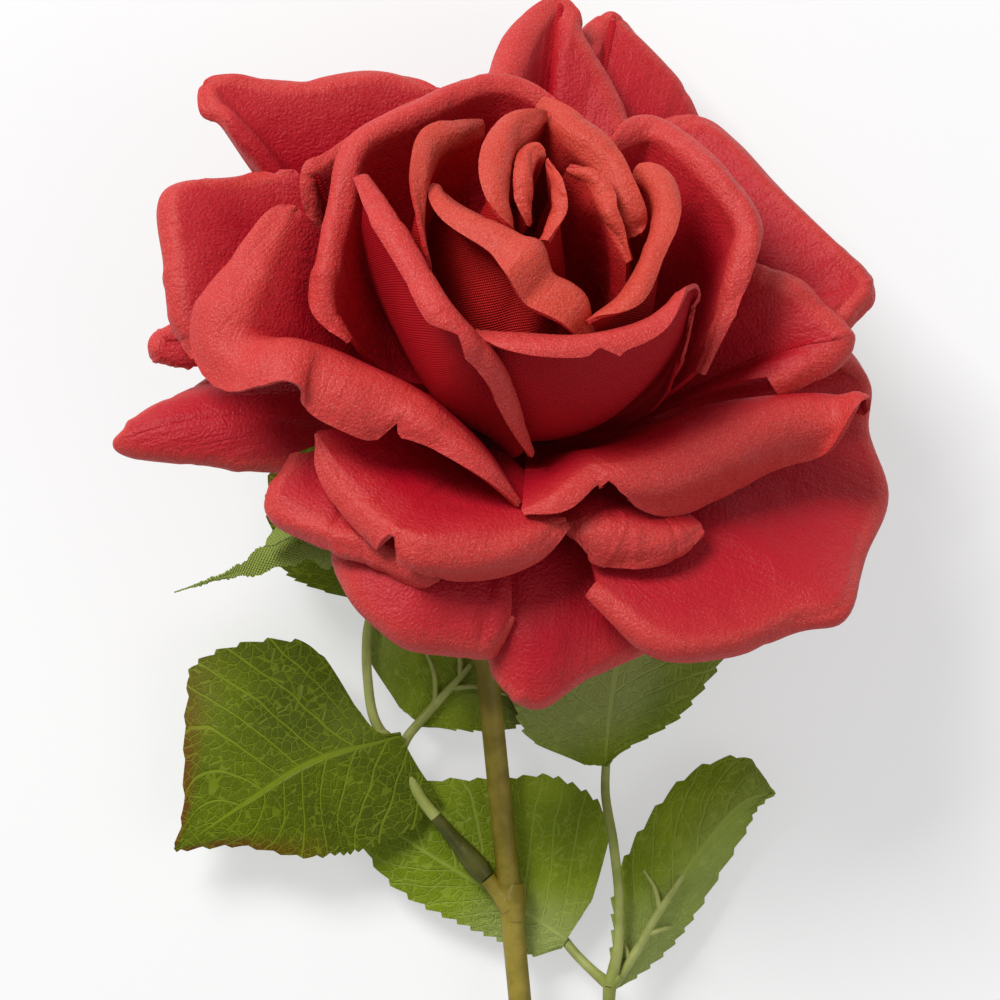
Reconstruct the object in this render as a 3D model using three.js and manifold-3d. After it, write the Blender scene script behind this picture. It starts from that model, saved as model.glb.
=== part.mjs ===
// Artificial rose on a leafy stem, lying on its back.
// Lengths are in millimetres and angles in degrees; +Z is up and the stem runs towards -Y.
import * as THREE from 'three';
import { mergeVertices } from 'three/addons/utils/BufferGeometryUtils.js';
import Module from 'manifold-3d';

const wasm = await Module();
wasm.setup();

// Flower head
const HEAD_PITCH = 45;            // rise of the flower's axis from the floor
const HEAD_LEAN = 16;             // turn of the flower's axis towards +X
const HEAD_X = 2;                 // seat centre, sideways from where the stem's line starts
const HEAD_Y = 14.5;

// Receptacle, the cone that the petals are glued to
const SEAT_RADIUS = 18;
const SEAT_RISE = 6.5;            // height of the cone at the axis over its rim
const RIM_DEPTH = 1.2;
const SHOULDER_RADIUS = 12;       // where the underside turns in
const SHOULDER_DEPTH = 8;
const NECK_RADIUS = 5;
const NECK_DEPTH = 16;
const RECEPTACLE_DEPTH = 22;
const COLLAR_RADIUS = 3.4;
const SOCKET_DEPTH = 8;

// Petals
const PETAL_THICKNESS = 0.8;
const CLEARANCE = 0.3;            // between pieces that touch
const FIRST_SEAT = 3;             // radius of the innermost ring of petal feet
const SEAT_STEP = 1.6;            // from one ring of feet to the next
const BOW_REACH = 0.38;           // length of a bow's handle over the chord that it bends
const PETAL_COLUMNS = 8;
const BODY_ROWS = 4;
const LIP_ROWS = 3;

// Bud core
const CORE_RADIUS = 2;
const CORE_HEIGHT = 18;

// Sepals, one star of cloth
const SEPAL_THICKNESS = 0.5;
const SEPAL_FIRST = 310;          // azimuth of the first sepal
const SEPAL_SPREAD = 72;
const SEPAL_WEB = 15;             // radius of the star between two sepals
const SEPAL_WEB_RISE = 1.5;       // of the star's rim there over the receptacle's shoulder
const SEPAL_WAIST = 12;           // half angle of a sepal, in degrees, halfway out
const SEPAL_BEND = 0.3;           // share of the sheet that lies against the receptacle

// Stem
const STEM_RADIUS = 2;
const STEM_SIDES = 10;
const STEM_STEPS = 36;
const STEM_END_X = 14;
const STEM_END_Y = -210;
const STUB_RADIUS = 1.5;
const STUB_LENGTH = 6.5;
const PEG_RADIUS = 1.1;
const PEG_LENGTH = 5;

// Leaf sprays
const SPRAY_SOCKET_LENGTH = 13.8;
const SPRAY_SOCKET_RADIUS = 1.95;
const SPRAY_NECK_RADIUS = 1.25;
const PETIOLE_RADIUS = 0.85;
const MAIN_PETIOLE_RADIUS = 1.02; // of the stretch that carries all three leaves
const KNOT_RADIUS = 1.4;          // swelling where the three petioles part
const TUBE_SIDES = 6;

// Leaves
const LEAF_THICKNESS = 0.5;
const LEAF_TEETH = 8;             // teeth along each margin
const TOOTH_DEPTH = 1.1;
const RIB_REACH = 0.55;           // share of the leaf's length that its rib runs

const seatOfRing = (ring) => FIRST_SEAT + ring * SEAT_STEP;
const HEART = seatOfRing(0);
const BUD = seatOfRing(1);
const INNER_RING = seatOfRing(2);
const CUP = seatOfRing(3);
const WRAP = seatOfRing(4);
const MIDDLE = seatOfRing(5);
const OUTER = seatOfRing(6);
const GUARD = seatOfRing(7);
const BASE = seatOfRing(8);

const COLOURS = {
  red: 0xb3262b,
  orangeRed: 0xb9402f,
  foam: 0x8f1a20,
  sepalGreen: 0x86a84a,
  stemGreen: 0x9a9448,
  petioleGreen: 0x7f8f4a,
  leafGreen: 0x55701c,
};

const { degToRad, clamp, lerp } = THREE.MathUtils;

// A point of the flower: azimuth 0 is the side towards the stem, 90 the right, 180 the far side.
function polar(azimuth, radius, height) {
  const angle = degToRad(azimuth);
  return new THREE.Vector3(radius * Math.sin(angle), -radius * Math.cos(angle), height);
}

// The value at share t of the way along a list of evenly spaced values.
function along(values, t) {
  if (!Array.isArray(values)) {
    return values;
  }
  const place = clamp(t, 0, 1) * (values.length - 1);
  const index = Math.min(Math.floor(place), values.length - 2);
  return lerp(values[index], values[index + 1], place - index);
}

// A closed solid from a sheet's middle surface, given as a function of (s, t) and sampled at the stations.
// Its outside, where s × t points, and its inside both lie half a thickness from the middle.
function sheetSolid(surface, across, outwards, thickness, { ring = false } = {}) {
  const step = 1e-3;
  const positions = [];
  const indices = [];
  const columns = across.length;
  const rows = outwards.length;
  for (const side of [1, -1]) {
    for (const t of outwards) {
      for (const s of across) {
        const middle = surface(s, t);
        const s0 = ring ? s - step : Math.max(s - step, across[0]);
        const s1 = ring ? s + step : Math.min(s + step, across[columns - 1]);
        const t0 = Math.max(t - step, outwards[0]);
        const t1 = Math.min(t + step, outwards[rows - 1]);
        const ds = surface(s1, t).sub(surface(s0, t));
        const dt = surface(s, t1).sub(surface(s, t0));
        const normal = ds.cross(dt).normalize();
        const point = middle.addScaledVector(normal, side * thickness / 2);
        positions.push(point.x, point.y, point.z);
      }
    }
  }
  const sheet = columns * rows;
  const at = (row, column) => row * columns + column;
  for (let row = 0; row < rows - 1; row += 1) {
    for (let column = 0; column < columns - 1; column += 1) {
      const a = at(row, column);
      const b = at(row, column + 1);
      const c = at(row + 1, column + 1);
      const d = at(row + 1, column);
      indices.push(a, b, c, a, c, d);
      indices.push(sheet + a, sheet + c, sheet + b, sheet + a, sheet + d, sheet + c);
    }
  }
  const wall = (a, b) => indices.push(a, sheet + b, b, a, sheet + a, sheet + b);
  for (let column = 0; column < columns - 1; column += 1) {
    wall(at(0, column), at(0, column + 1));
    wall(at(rows - 1, column + 1), at(rows - 1, column));
  }
  for (let row = 0; row < rows - 1 && !ring; row += 1) {
    wall(at(row + 1, 0), at(row, 0));
    wall(at(row, columns - 1), at(row + 1, columns - 1));
  }
  const geometry = new THREE.BufferGeometry();
  geometry.setAttribute('position', new THREE.Float32BufferAttribute(positions, 3));
  geometry.setIndex(indices);
  return geometry;
}

// Height over the seat's rim at which a petal's foot stands.
function footHeight(seat) {
  return SEAT_RISE * (1 - seat / SEAT_RADIUS) + CLEARANCE + PETAL_THICKNESS / 2;
}

// The petal's middle surface: s runs 0 to 1 along the crest, t 0 to 1 from foot to crest
// and 1 to 2 over the lip.
function petalSurface(petal) {
  const points = petal.crest.map((point) => polar(...point));
  const crest = new THREE.CatmullRomCurve3(points, false, 'catmullrom', 0.5);
  const { seat, bow, inset = 0 } = petal;
  const [footAzimuth, footSpread] = petal.foot;
  return (s, t) => {
    const foot = polar(footAzimuth + (s - 0.5) * footSpread, seat, footHeight(seat));
    const top = crest.getPoint(s);
    const before = crest.getPoint(Math.max(s - 1e-3, 0));
    const tangent = crest.getPoint(Math.min(s + 1e-3, 1)).sub(before).normalize();
    const radius = along(petal.roll, s);
    const curl = degToRad(along(petal.curl, s));
    const width = along(petal.lip, s);
    const directions = () => {
      const chord = top.clone().sub(foot);
      const plan = Math.hypot(chord.x, chord.y);
      const lean = Math.atan2(plan, chord.z);
      const way = (angle) => new THREE.Vector3(
        Math.sin(angle) * chord.x / plan,
        Math.sin(angle) * chord.y / plan,
        Math.cos(angle),
      );
      return {
        start: way(lean + degToRad(along(bow[0], s))),
        end: way(lean - degToRad(bow[1])),
        reach: chord.length() * BOW_REACH,
      };
    };
    let { end } = directions();
    let over = end.clone().addScaledVector(tangent, -end.dot(tangent)).normalize();
    const turned = Math.min(width / radius, curl, Math.PI / 2);
    top.addScaledVector(over, -inset * radius * Math.sin(turned));
    const { start, end: last, reach } = directions();
    end = last;
    if (t <= 1) {
      const curve = new THREE.CubicBezierCurve3(
        foot,
        foot.clone().addScaledVector(start, reach),
        top.clone().addScaledVector(end, -reach),
        top,
      );
      return curve.getPoint(t);
    }
    over = end.clone().addScaledVector(tangent, -end.dot(tangent)).normalize();
    const out = tangent.clone().cross(over).normalize();
    const length = (t - 1) * width;
    const angle = Math.min(length / radius, curl);
    const rest = length - angle * radius;
    return top
      .addScaledVector(over, radius * Math.sin(angle) + rest * Math.cos(angle))
      .addScaledVector(out, radius * (1 - Math.cos(angle)) + rest * Math.sin(angle));
  };
}

function stations(count, from, to) {
  return Array.from({ length: count + 1 }, (_, index) => lerp(from, to, index / count));
}

function petalGeometry(petal) {
  const columns = stations(petal.columns ?? PETAL_COLUMNS, 0, 1);
  const rows = [...stations(BODY_ROWS, 0, 1), ...stations(LIP_ROWS, 1, 2).slice(1)];
  return sheetSolid(petalSurface(petal), columns, rows, PETAL_THICKNESS);
}

// Ways that a petal is formed; each petal's own values come after.
// bow: how many degrees the sheet leans outwards from its chord at the foot, and inwards at the crest
// roll: radius that the lip is rolled to; curl: the most that it turns; inset: share of that radius
// by which the rolled rim draws the crest in. A list holds values at even steps along the crest.
const SPREAD = { bow: [-25, -20], roll: 3, curl: 150, inset: 0.8, colour: COLOURS.red };
const UPRIGHT = { bow: [35, 25], roll: 2.5, curl: 150, colour: COLOURS.red };
const WOUND = { bow: [35, 30], roll: 2.8, curl: 140, colour: COLOURS.orangeRed };

// foot: [azimuth of its middle, angle that it takes of the seat]
// crest: [azimuth, radius, height over the seat's rim], anticlockwise seen from above
// lip: width of the rolled lip at even steps along the crest
const PETALS = [
  {
    ...SPREAD, name: 'outer_petal_top_left', seat: OUTER, foot: [240, 30], bow: [30, -12],
    crest: [[217, 43, 36], [229, 50, 37], [242, 57, 35], [250, 68, 34], [256, 63, 32], [252, 51, 18]],
    lip: [0, 7, 7, 3, 3, 4, 0],
  },
  {
    ...SPREAD, name: 'outer_petal_left', seat: OUTER, foot: [273, 30], bow: [20, -15],
    crest: [[254, 48, 28], [260, 55, 27], [268, 65, 27], [278, 62, 22], [286, 60, 17], [291, 57, 12]],
    lip: [0, 5, 8, 8, 8, 2],
  },
  {
    ...SPREAD, name: 'outer_petal_left_small', seat: GUARD, foot: [272, 20], bow: [0, -15], roll: 2,
    curl: 200,
    crest: [[279, 57, 10], [282, 62, 8], [285, 62, 5], [285, 56, 3]],
    lip: [4, 6, 6, 4],
  },
  {
    ...SPREAD, name: 'outer_petal_left_long', seat: GUARD, foot: [301, 22], bow: [1, -22], curl: 170,
    crest: [
      [278, 50, 0], [283, 55, -2], [288, 63, -4], [292, 68, -6], [295, 65, -7], [299, 54, -6],
      [305, 41, -4],
    ],
    lip: [4, 8, 7, 4, 7, 8, 4],
  },
  {
    ...SPREAD, name: 'outer_petal_lower_left', seat: GUARD, foot: [328, 30], bow: [-12, -15], curl: 110,
    crest: [[308, 42, 3], [316, 50, 1], [327, 48, 2], [338, 46, 3], [350, 45, 3], [355, 44, 3]],
    lip: [3, 6, 6, 6, 6, 3],
  },
  {
    ...SPREAD, name: 'outer_petal_front', seat: OUTER, foot: [354, 26], bow: [4, -20], roll: 4, curl: 110,
    inset: 0.5, columns: 10,
    crest: [
      [314, 42, 12], [322, 43, 10], [335, 44, 9], [348, 46, 10], [359, 43, 11], [12, 39, 12],
      [23, 35, 11],
    ],
    lip: [0, 4, 6, 7, 11, 9, 2],
  },
  {
    ...SPREAD, name: 'outer_petal_bottom_left', seat: BASE, foot: [346, 30], bow: [-12, -35], roll: 4,
    crest: [
      [330, 44, -4], [333, 46, -6], [341, 49, -7], [352, 51, -8], [1, 49, -9], [10, 47, -9], [13, 42, -5],
    ],
    lip: [3, 8, 9, 9, 8, 5, 1],
  },
  {
    ...SPREAD, name: 'outer_petal_bottom', seat: BASE, foot: [22, 30], bow: [-18, -35],
    crest: [[16, 40, -10], [15, 46, -13], [18, 50, -16], [22, 51, -17], [31, 48, -14], [44, 48, -10]],
    lip: [3, 6, 6, 5, 6, 3],
  },
  {
    ...SPREAD, name: 'outer_petal_lower_right', seat: GUARD, foot: [72, 54], bow: [-12, -8], curl: 130,
    columns: 10,
    crest: [
      [29, 42, 2], [39, 54, 0], [51, 59, 0], [62, 62, 1], [69, 67, 2], [82, 64, 2], [94, 65, 3], [104, 61, 6],
      [111, 62, 9], [113, 58, 12], [109, 48, 14],
    ],
    lip: [3, 6, 7, 6, 5, 6, 7, 6, 5, 5, 3],
  },
  {
    ...SPREAD, name: 'outer_petal_lower_right_small', seat: OUTER, foot: [36, 34], bow: [5, -15], roll: 4,
    curl: 85, inset: 0,
    crest: [[24, 33, 9], [30, 34, 11], [39, 36, 11], [49, 39, 10], [59, 41, 8]],
    lip: [2, 8, 9, 7, 2],
  },
  {
    ...SPREAD, name: 'outer_petal_right_long', seat: MIDDLE, foot: [52, 60], bow: [[8, 20, 20], -20],
    roll: [3, 3, 3, 4, 5, 5, 5, 4, 3], curl: 105, inset: 0, columns: 10,
    crest: [
      [10, 35, 13], [18, 33, 16], [30, 29, 18], [39, 30, 19], [55, 31, 19], [72, 35, 21], [86, 41, 22],
      [93, 51, 22], [93, 57, 20],
    ],
    lip: [1, 4, 4, 8, 14, 15, 14, 10, 3],
  },
  {
    ...SPREAD, name: 'outer_petal_right', seat: MIDDLE, foot: [105, 36], bow: [30, -10], curl: 170,
    crest: [[91, 41, 22], [95, 46, 26], [100, 51, 30], [105, 46, 32], [109, 41, 34], [116, 35, 34]],
    lip: [4, 7, 6, 6, 6, 2],
  },
  {
    ...SPREAD, name: 'outer_petal_top_right', seat: OUTER, foot: [137, 50], bow: [15, -15],
    crest: [
      [109, 51, 26], [113, 56, 28], [117, 58, 29], [124, 54, 31], [140, 50, 33], [153, 51, 34], [161, 51, 34],
      [167, 44, 33],
    ],
    lip: [5, 5, 5, 6, 7, 7, 5, 5],
  },
  {
    ...SPREAD, name: 'outer_petal_top_pointed_right', seat: GUARD, foot: [172, 30], bow: [10, -15],
    crest: [
      [163, 60, 26], [168, 62, 30], [175, 64, 33], [181, 67, 35], [183, 66, 35], [185, 60, 34],
      [186, 51, 30],
    ],
    lip: [4, 7, 7, 3, 3, 6, 5],
  },
  {
    ...SPREAD, name: 'outer_petal_top_pointed_left', seat: OUTER, foot: [197, 34], bow: [15, -10],
    crest: [
      [173, 43, 32], [181, 50, 36], [188, 56, 40], [191, 61, 41], [195, 55, 41], [200, 46, 40],
      [206, 40, 38],
    ],
    lip: [4, 7, 5, 3, 5, 7, 4],
  },
  {
    ...SPREAD, name: 'outer_petal_front_left', seat: MIDDLE, foot: [306, 34], bow: [[42, 38, 20, 5], -8],
    roll: 4, curl: 105, inset: 0, columns: 11,
    crest: [
      [273, 43, 34], [275, 45, 33], [287, 51, 28], [294, 57, 24], [296, 56, 22], [296, 50, 23], [300, 42, 24],
      [310, 35, 24], [323, 30, 23], [338, 29, 22], [357, 30, 18], [9, 32, 12],
    ],
    lip: [2, 6, 9, 7, 6, 12, 15, 13, 9, 6, 5, 2],
  },
  {
    ...SPREAD, name: 'guard_petal_right', seat: BASE, foot: [118, 30], bow: [-25, -30],
    crest: [[96, 42, -2], [104, 52, -4], [118, 57, -5], [130, 54, -4], [138, 44, -2]],
    lip: [3, 6, 6, 6, 3],
  },
  {
    ...SPREAD, name: 'guard_petal_top_right', seat: BASE, foot: [164, 34], bow: [-15, -25],
    crest: [[143, 42, 4], [150, 52, 3], [163, 57, 2], [174, 54, 3], [181, 44, 4]],
    lip: [3, 6, 6, 6, 3],
  },
  {
    ...SPREAD, name: 'guard_petal_top_left', seat: BASE, foot: [212, 34], bow: [-15, -25],
    crest: [[192, 45, 3], [200, 56, 1.4], [212, 62, 0.3], [224, 57, 1.4], [231, 46, 4]],
    lip: [3, 6, 6, 6, 3],
  },
  {
    ...SPREAD, name: 'guard_petal_left', seat: BASE, foot: [256, 34], bow: [-8, -25],
    crest: [[236, 42, 4], [244, 51, 1], [256, 55, -1], [266, 52, -3], [272, 42, -3]],
    lip: [3, 6, 6, 6, 3],
  },
  {
    ...UPRIGHT, name: 'cup_petal_back_left', seat: MIDDLE, foot: [248, 44], bow: [36, 16], inset: 0.8,
    crest: [
      [209, 35, 42], [225, 36, 42], [247, 36, 42], [263, 41, 40], [267, 43, 39], [270, 40, 34],
      [271, 35, 26],
    ],
    lip: [2, 3, 4, 3, 3, 4, 2],
  },
  {
    ...UPRIGHT, name: 'cup_petal_left', seat: WRAP, foot: [238, 60], bow: [30, 22], roll: 2, curl: 170,
    inset: 0.5, columns: 10,
    crest: [
      [193, 28, 45], [214, 32, 46], [241, 32, 45], [259, 36, 43], [274, 35, 38], [287, 36, 34], [295, 37, 29],
      [302, 34, 24],
    ],
    lip: [2, 5, 5, 5, 5, 5, 5, 2],
  },
  {
    ...UPRIGHT, name: 'cup_petal_right', seat: WRAP, foot: [125, 60], bow: [25, 20], curl: 170, columns: 10,
    crest: [
      [80, 30, 26], [95, 31, 34], [107, 32, 40], [118, 32, 43], [137, 29, 45], [155, 30, 45], [163, 31, 45],
      [172, 22, 45],
    ],
    lip: [2, 4, 5, 6, 6, 6, 5, 2],
  },
  {
    ...UPRIGHT, name: 'cup_petal_front_left', seat: CUP, foot: [318, 60], bow: [38, 32],
    roll: [2.5, 2.5, 2.5, 2.5, 2.5, 2], curl: 160,
    crest: [[274, 33, 44], [291, 28, 44], [316, 27, 43], [334, 28, 41], [351, 24, 30], [10, 23, 16]],
    lip: [5, 7, 7, 8, 8, 3],
  },
  {
    ...UPRIGHT, name: 'cup_petal_front', seat: CUP, foot: [30, 60], bow: [40, 35], roll: 3, columns: 10,
    crest: [
      [345, 21, 35], [356, 23, 41], [22, 22, 43], [52, 23, 45], [78, 27, 46], [77, 27, 36], [74, 25, 22],
    ],
    lip: [0, 7, 8, 8, 6, 0, 0],
  },
  {
    ...WOUND, name: 'inner_petal_left', seat: INNER_RING, foot: [242, 60], bow: [[35, 35, 42], 30], roll: 3,
    curl: 130,
    crest: [[225, 27, 47], [244, 24, 48], [258, 24, 48], [282, 24, 48], [301, 25, 45], [310, 24, 38]],
    lip: [4, 7, 7, 5, 2, 0],
  },
  {
    ...WOUND, name: 'inner_petal_front', seat: INNER_RING, foot: [325, 60], bow: [[22, 35, 35], 30],
    roll: 3.5,
    crest: [[269, 21, 46], [284, 18, 48], [320, 12, 48], [357, 12, 47], [28, 16, 42]],
    lip: [3, 9, 12, 13, 3],
  },
  {
    ...WOUND, name: 'inner_petal_right', seat: INNER_RING, foot: [83, 50], bow: [40, 35], roll: 2.5,
    curl: 150,
    crest: [[24, 19, 44], [43, 17, 46], [78, 14, 47], [111, 15, 48], [136, 17, 48], [151, 18, 47]],
    lip: [3, 6, 6, 6, 6, 3],
  },
  {
    ...WOUND, name: 'inner_petal_back', seat: INNER_RING, foot: [168, 50], roll: 3, curl: 120,
    crest: [[108, 11, 43], [123, 9, 46], [169, 11, 48], [197, 16, 49], [205, 24, 48]],
    lip: [3, 6, 7, 7, 3],
  },
  {
    ...WOUND, name: 'bud_petal_left', seat: BUD, foot: [240, 70], bow: [30, 25], roll: 3, curl: 130,
    crest: [[204, 20, 50], [223, 15, 50], [253, 12, 50], [287, 11, 49], [305, 11, 45]],
    lip: [2, 7, 8, 7, 2],
  },
  {
    ...WOUND, name: 'bud_petal_right', seat: BUD, foot: [110, 70], bow: [30, 25], roll: 2, curl: 120,
    crest: [[75, 12, 44], [88, 7, 47], [123, 5, 49], [167, 6, 50], [196, 8, 50]],
    lip: [1, 3, 4, 3, 1],
  },
  {
    ...WOUND, name: 'heart_petal_left', seat: HEART, foot: [280, 90], bow: [20, 20], roll: 1.5, curl: 170,
    crest: [[220, 10, 51], [231, 10, 51], [255, 8, 51], [279, 7, 49], [299, 7, 46]],
    lip: [2, 3, 3, 3, 1],
  },
  {
    ...WOUND, name: 'heart_petal_right', seat: HEART, foot: [100, 90], bow: [-20, -10], roll: 2, curl: 150,
    crest: [[337, 8, 46], [301, 3, 48], [241, 4, 50], [219, 9, 51]],
    lip: [3, 4, 3, 1],
  },
];

// A surface of revolution about Z from [radius, height] points that start and end on the axis.
function turned(points, sides) {
  const profile = points.map(([radius, height]) => new THREE.Vector2(radius, height));
  return new THREE.LatheGeometry(profile, sides).rotateX(Math.PI / 2);
}

// A round rod along a path through the points.
function rod(points, radius, sides, steps) {
  const knots = points.map((point) => new THREE.Vector3(...point));
  const path = new THREE.CatmullRomCurve3(knots, false, 'centripetal');
  const section = new THREE.Shape();
  for (let side = 0; side < sides; side += 1) {
    const angle = 2 * Math.PI * side / sides;
    const [x, y] = [radius * Math.cos(angle), radius * Math.sin(angle)];
    if (side === 0) {
      section.moveTo(x, y);
    } else {
      section.lineTo(x, y);
    }
  }
  section.closePath();
  return new THREE.ExtrudeGeometry(section, { steps, bevelEnabled: false, extrudePath: path });
}

function toSolid(geometry) {
  const bare = geometry.clone();
  bare.deleteAttribute('normal');
  bare.deleteAttribute('uv');
  const welded = mergeVertices(bare, 1e-4);
  const corners = welded.index.array;
  const triangles = [];
  for (let first = 0; first < corners.length; first += 3) {
    const [a, b, c] = corners.slice(first, first + 3);
    if (a !== b && b !== c && c !== a) {
      triangles.push(a, b, c);
    }
  }
  return new wasm.Manifold(new wasm.Mesh({
    numProp: 3,
    vertProperties: new Float32Array(welded.attributes.position.array),
    triVerts: new Uint32Array(triangles),
  }));
}

// One geometry from several that run into each other.
function joined(geometries) {
  const solid = geometries.map(toSolid).reduce((whole, piece) => whole.add(piece));
  const mesh = solid.getMesh();
  const geometry = new THREE.BufferGeometry();
  geometry.setAttribute('position', new THREE.BufferAttribute(mesh.vertProperties, 3));
  geometry.setIndex(new THREE.BufferAttribute(mesh.triVerts, 1));
  return geometry;
}

const rose = new THREE.Group();

function add(parent, name, geometry, colour, roughness = 0.8) {
  const material = new THREE.MeshStandardMaterial({ color: colour, roughness, metalness: 0 });
  const mesh = new THREE.Mesh(geometry, material);
  mesh.name = name;
  parent.add(mesh);
}

// The flower's own frame: its axis is Z, and Y points away from the stem.
const head = new THREE.Group();
head.position.set(HEAD_X, HEAD_Y, 0);
head.rotation.set(-degToRad(90 - HEAD_PITCH), 0, -degToRad(HEAD_LEAN), 'ZXY');
head.updateMatrix();
rose.add(head);

for (const petal of PETALS) {
  add(head, petal.name, petalGeometry(petal), petal.colour, 0.85);
}

const socketCeiling = -RECEPTACLE_DEPTH + SOCKET_DEPTH;
const stemBore = STEM_RADIUS + CLEARANCE;
add(head, 'receptacle', turned([
  [0, socketCeiling],
  [stemBore, socketCeiling],
  [stemBore, -RECEPTACLE_DEPTH],
  [COLLAR_RADIUS, -RECEPTACLE_DEPTH],
  [NECK_RADIUS, -NECK_DEPTH],
  [SHOULDER_RADIUS, -SHOULDER_DEPTH],
  [SEAT_RADIUS, -RIM_DEPTH],
  [SEAT_RADIUS, 0],
  [0, SEAT_RISE],
], 24), COLOURS.stemGreen);

add(head, 'bud_core', turned([
  [0, SEAT_RISE + CLEARANCE],
  [CORE_RADIUS, SEAT_RISE + CLEARANCE],
  [CORE_RADIUS, CORE_HEIGHT - CORE_RADIUS],
  [0, CORE_HEIGHT],
], 10), COLOURS.foam);

// How far each sepal reaches, from the first one on: [radius, height] halfway and at the tip.
const SEPALS = [
  { halfway: [34, -6], tip: [58, -28] },
  { halfway: [24, -8], tip: [34, -17] },
  { halfway: [28, -8], tip: [40, -19] },
  { halfway: [27, -6], tip: [42, -6] },
  { halfway: [28, -7], tip: [45, -9] },
];

// The cloth star: s runs round the receptacle, t from its hole to its outline.
const sheetGap = CLEARANCE + SEPAL_THICKNESS / 2;
function sepalSurface(s, t) {
  const place = THREE.MathUtils.euclideanModulo(s, 1) * SEPALS.length;
  const index = Math.min(Math.floor(place + 0.5), SEPALS.length) % SEPALS.length;
  const offset = (place + 0.5) % 1 - 0.5;
  const azimuth = SEPAL_FIRST + s * 360;
  const slope = new THREE.Vector2(SHOULDER_RADIUS - NECK_RADIUS, NECK_DEPTH - SHOULDER_DEPTH).normalize();
  const outside = new THREE.Vector2(slope.y, -slope.x).multiplyScalar(sheetGap);
  const hole = new THREE.Vector2(NECK_RADIUS, -NECK_DEPTH).add(outside).addScaledVector(slope, 1);
  const shoulder = new THREE.Vector2(SHOULDER_RADIUS, -SHOULDER_DEPTH).add(outside);
  if (t <= SEPAL_BEND) {
    const point = hole.lerp(shoulder, t / SEPAL_BEND);
    return polar(azimuth, point.x, point.y);
  }
  const { halfway, tip } = SEPALS[index];
  const turn = Math.abs(offset) * SEPAL_SPREAD;
  const narrow = turn / (SEPAL_SPREAD / 2);
  const reach = turn < SEPAL_WAIST
    ? lerp(1, 0.5, turn / SEPAL_WAIST)
    : lerp(0.5, 0, Math.sqrt((turn - SEPAL_WAIST) / (SEPAL_SPREAD / 2 - SEPAL_WAIST)));
  const edge = new THREE.Vector2(SEPAL_WEB, -SHOULDER_DEPTH + SEPAL_WEB_RISE);
  const share = (t - SEPAL_BEND) / (1 - SEPAL_BEND) * reach;
  const bend = new THREE.QuadraticBezierCurve(
    shoulder,
    new THREE.Vector2(...halfway),
    new THREE.Vector2(...tip),
  ).getPoint(share);
  const web = shoulder.clone().lerp(edge, (t - SEPAL_BEND) / (1 - SEPAL_BEND));
  const point = bend.lerp(web, narrow ** 6);
  return polar(azimuth, point.x, point.y);
}
const sepalTurns = [0, 0.14, 0.4, 0.6, 0.86];
const sepalStations = (index) => sepalTurns.map((turn) => (index + turn) / SEPALS.length);
const sepalColumns = [...SEPALS.flatMap((_, index) => sepalStations(index)), 1];
const sepalRows = [0, SEPAL_BEND, 0.5, 0.75, 1];
add(
  head,
  'sepals',
  sheetSolid(sepalSurface, sepalColumns, sepalRows, SEPAL_THICKNESS, { ring: true }),
  COLOURS.sepalGreen,
  0.95,
);

// The rose lies on the petals behind its head and on the stem's end.
const floor = new THREE.Box3().setFromObject(head, true).min.z;

// Stem: out of the receptacle's socket, round the bend and down to its cut end.
const socketTop = new THREE.Vector3(0, 0, socketCeiling - CLEARANCE).applyMatrix4(head.matrix);
const socketMouth = new THREE.Vector3(0, 0, -RECEPTACLE_DEPTH - 2).applyMatrix4(head.matrix);
const stemPath = [
  socketTop.toArray(), socketMouth.toArray(), [-3.6, -13, -23.6], [-3, -22, -26.2], [-2, -32, -27.4],
  [3.5, -87.6, -30.2], [STEM_END_X, STEM_END_Y, floor + STEM_RADIUS],
];

// A joint of a spray on the stem: where it leaves the stem's middle, and which way it points.
const LEFT_JOINT = { at: [2, -71.2, -29.4], angle: 130 };
const RIGHT_JOINT = { at: [6, -118, -31.9], angle: 60 };

function onJoint(geometry, joint) {
  return geometry
    .rotateY(Math.PI / 2)
    .rotateZ(degToRad(joint.angle))
    .translate(...joint.at);
}

function stub() {
  return turned([
    [0, 0],
    [STUB_RADIUS, 0],
    [STUB_RADIUS, STUB_LENGTH],
    [PEG_RADIUS, STUB_LENGTH],
    [PEG_RADIUS, STUB_LENGTH + PEG_LENGTH],
    [0, STUB_LENGTH + PEG_LENGTH],
  ], 10);
}
const stem = joined([
  rod(stemPath, STEM_RADIUS, STEM_SIDES, STEM_STEPS),
  onJoint(stub(), LEFT_JOINT),
  onJoint(stub(), RIGHT_JOINT),
]);
add(rose, 'stem', stem, COLOURS.stemGreen, 0.6);

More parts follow.
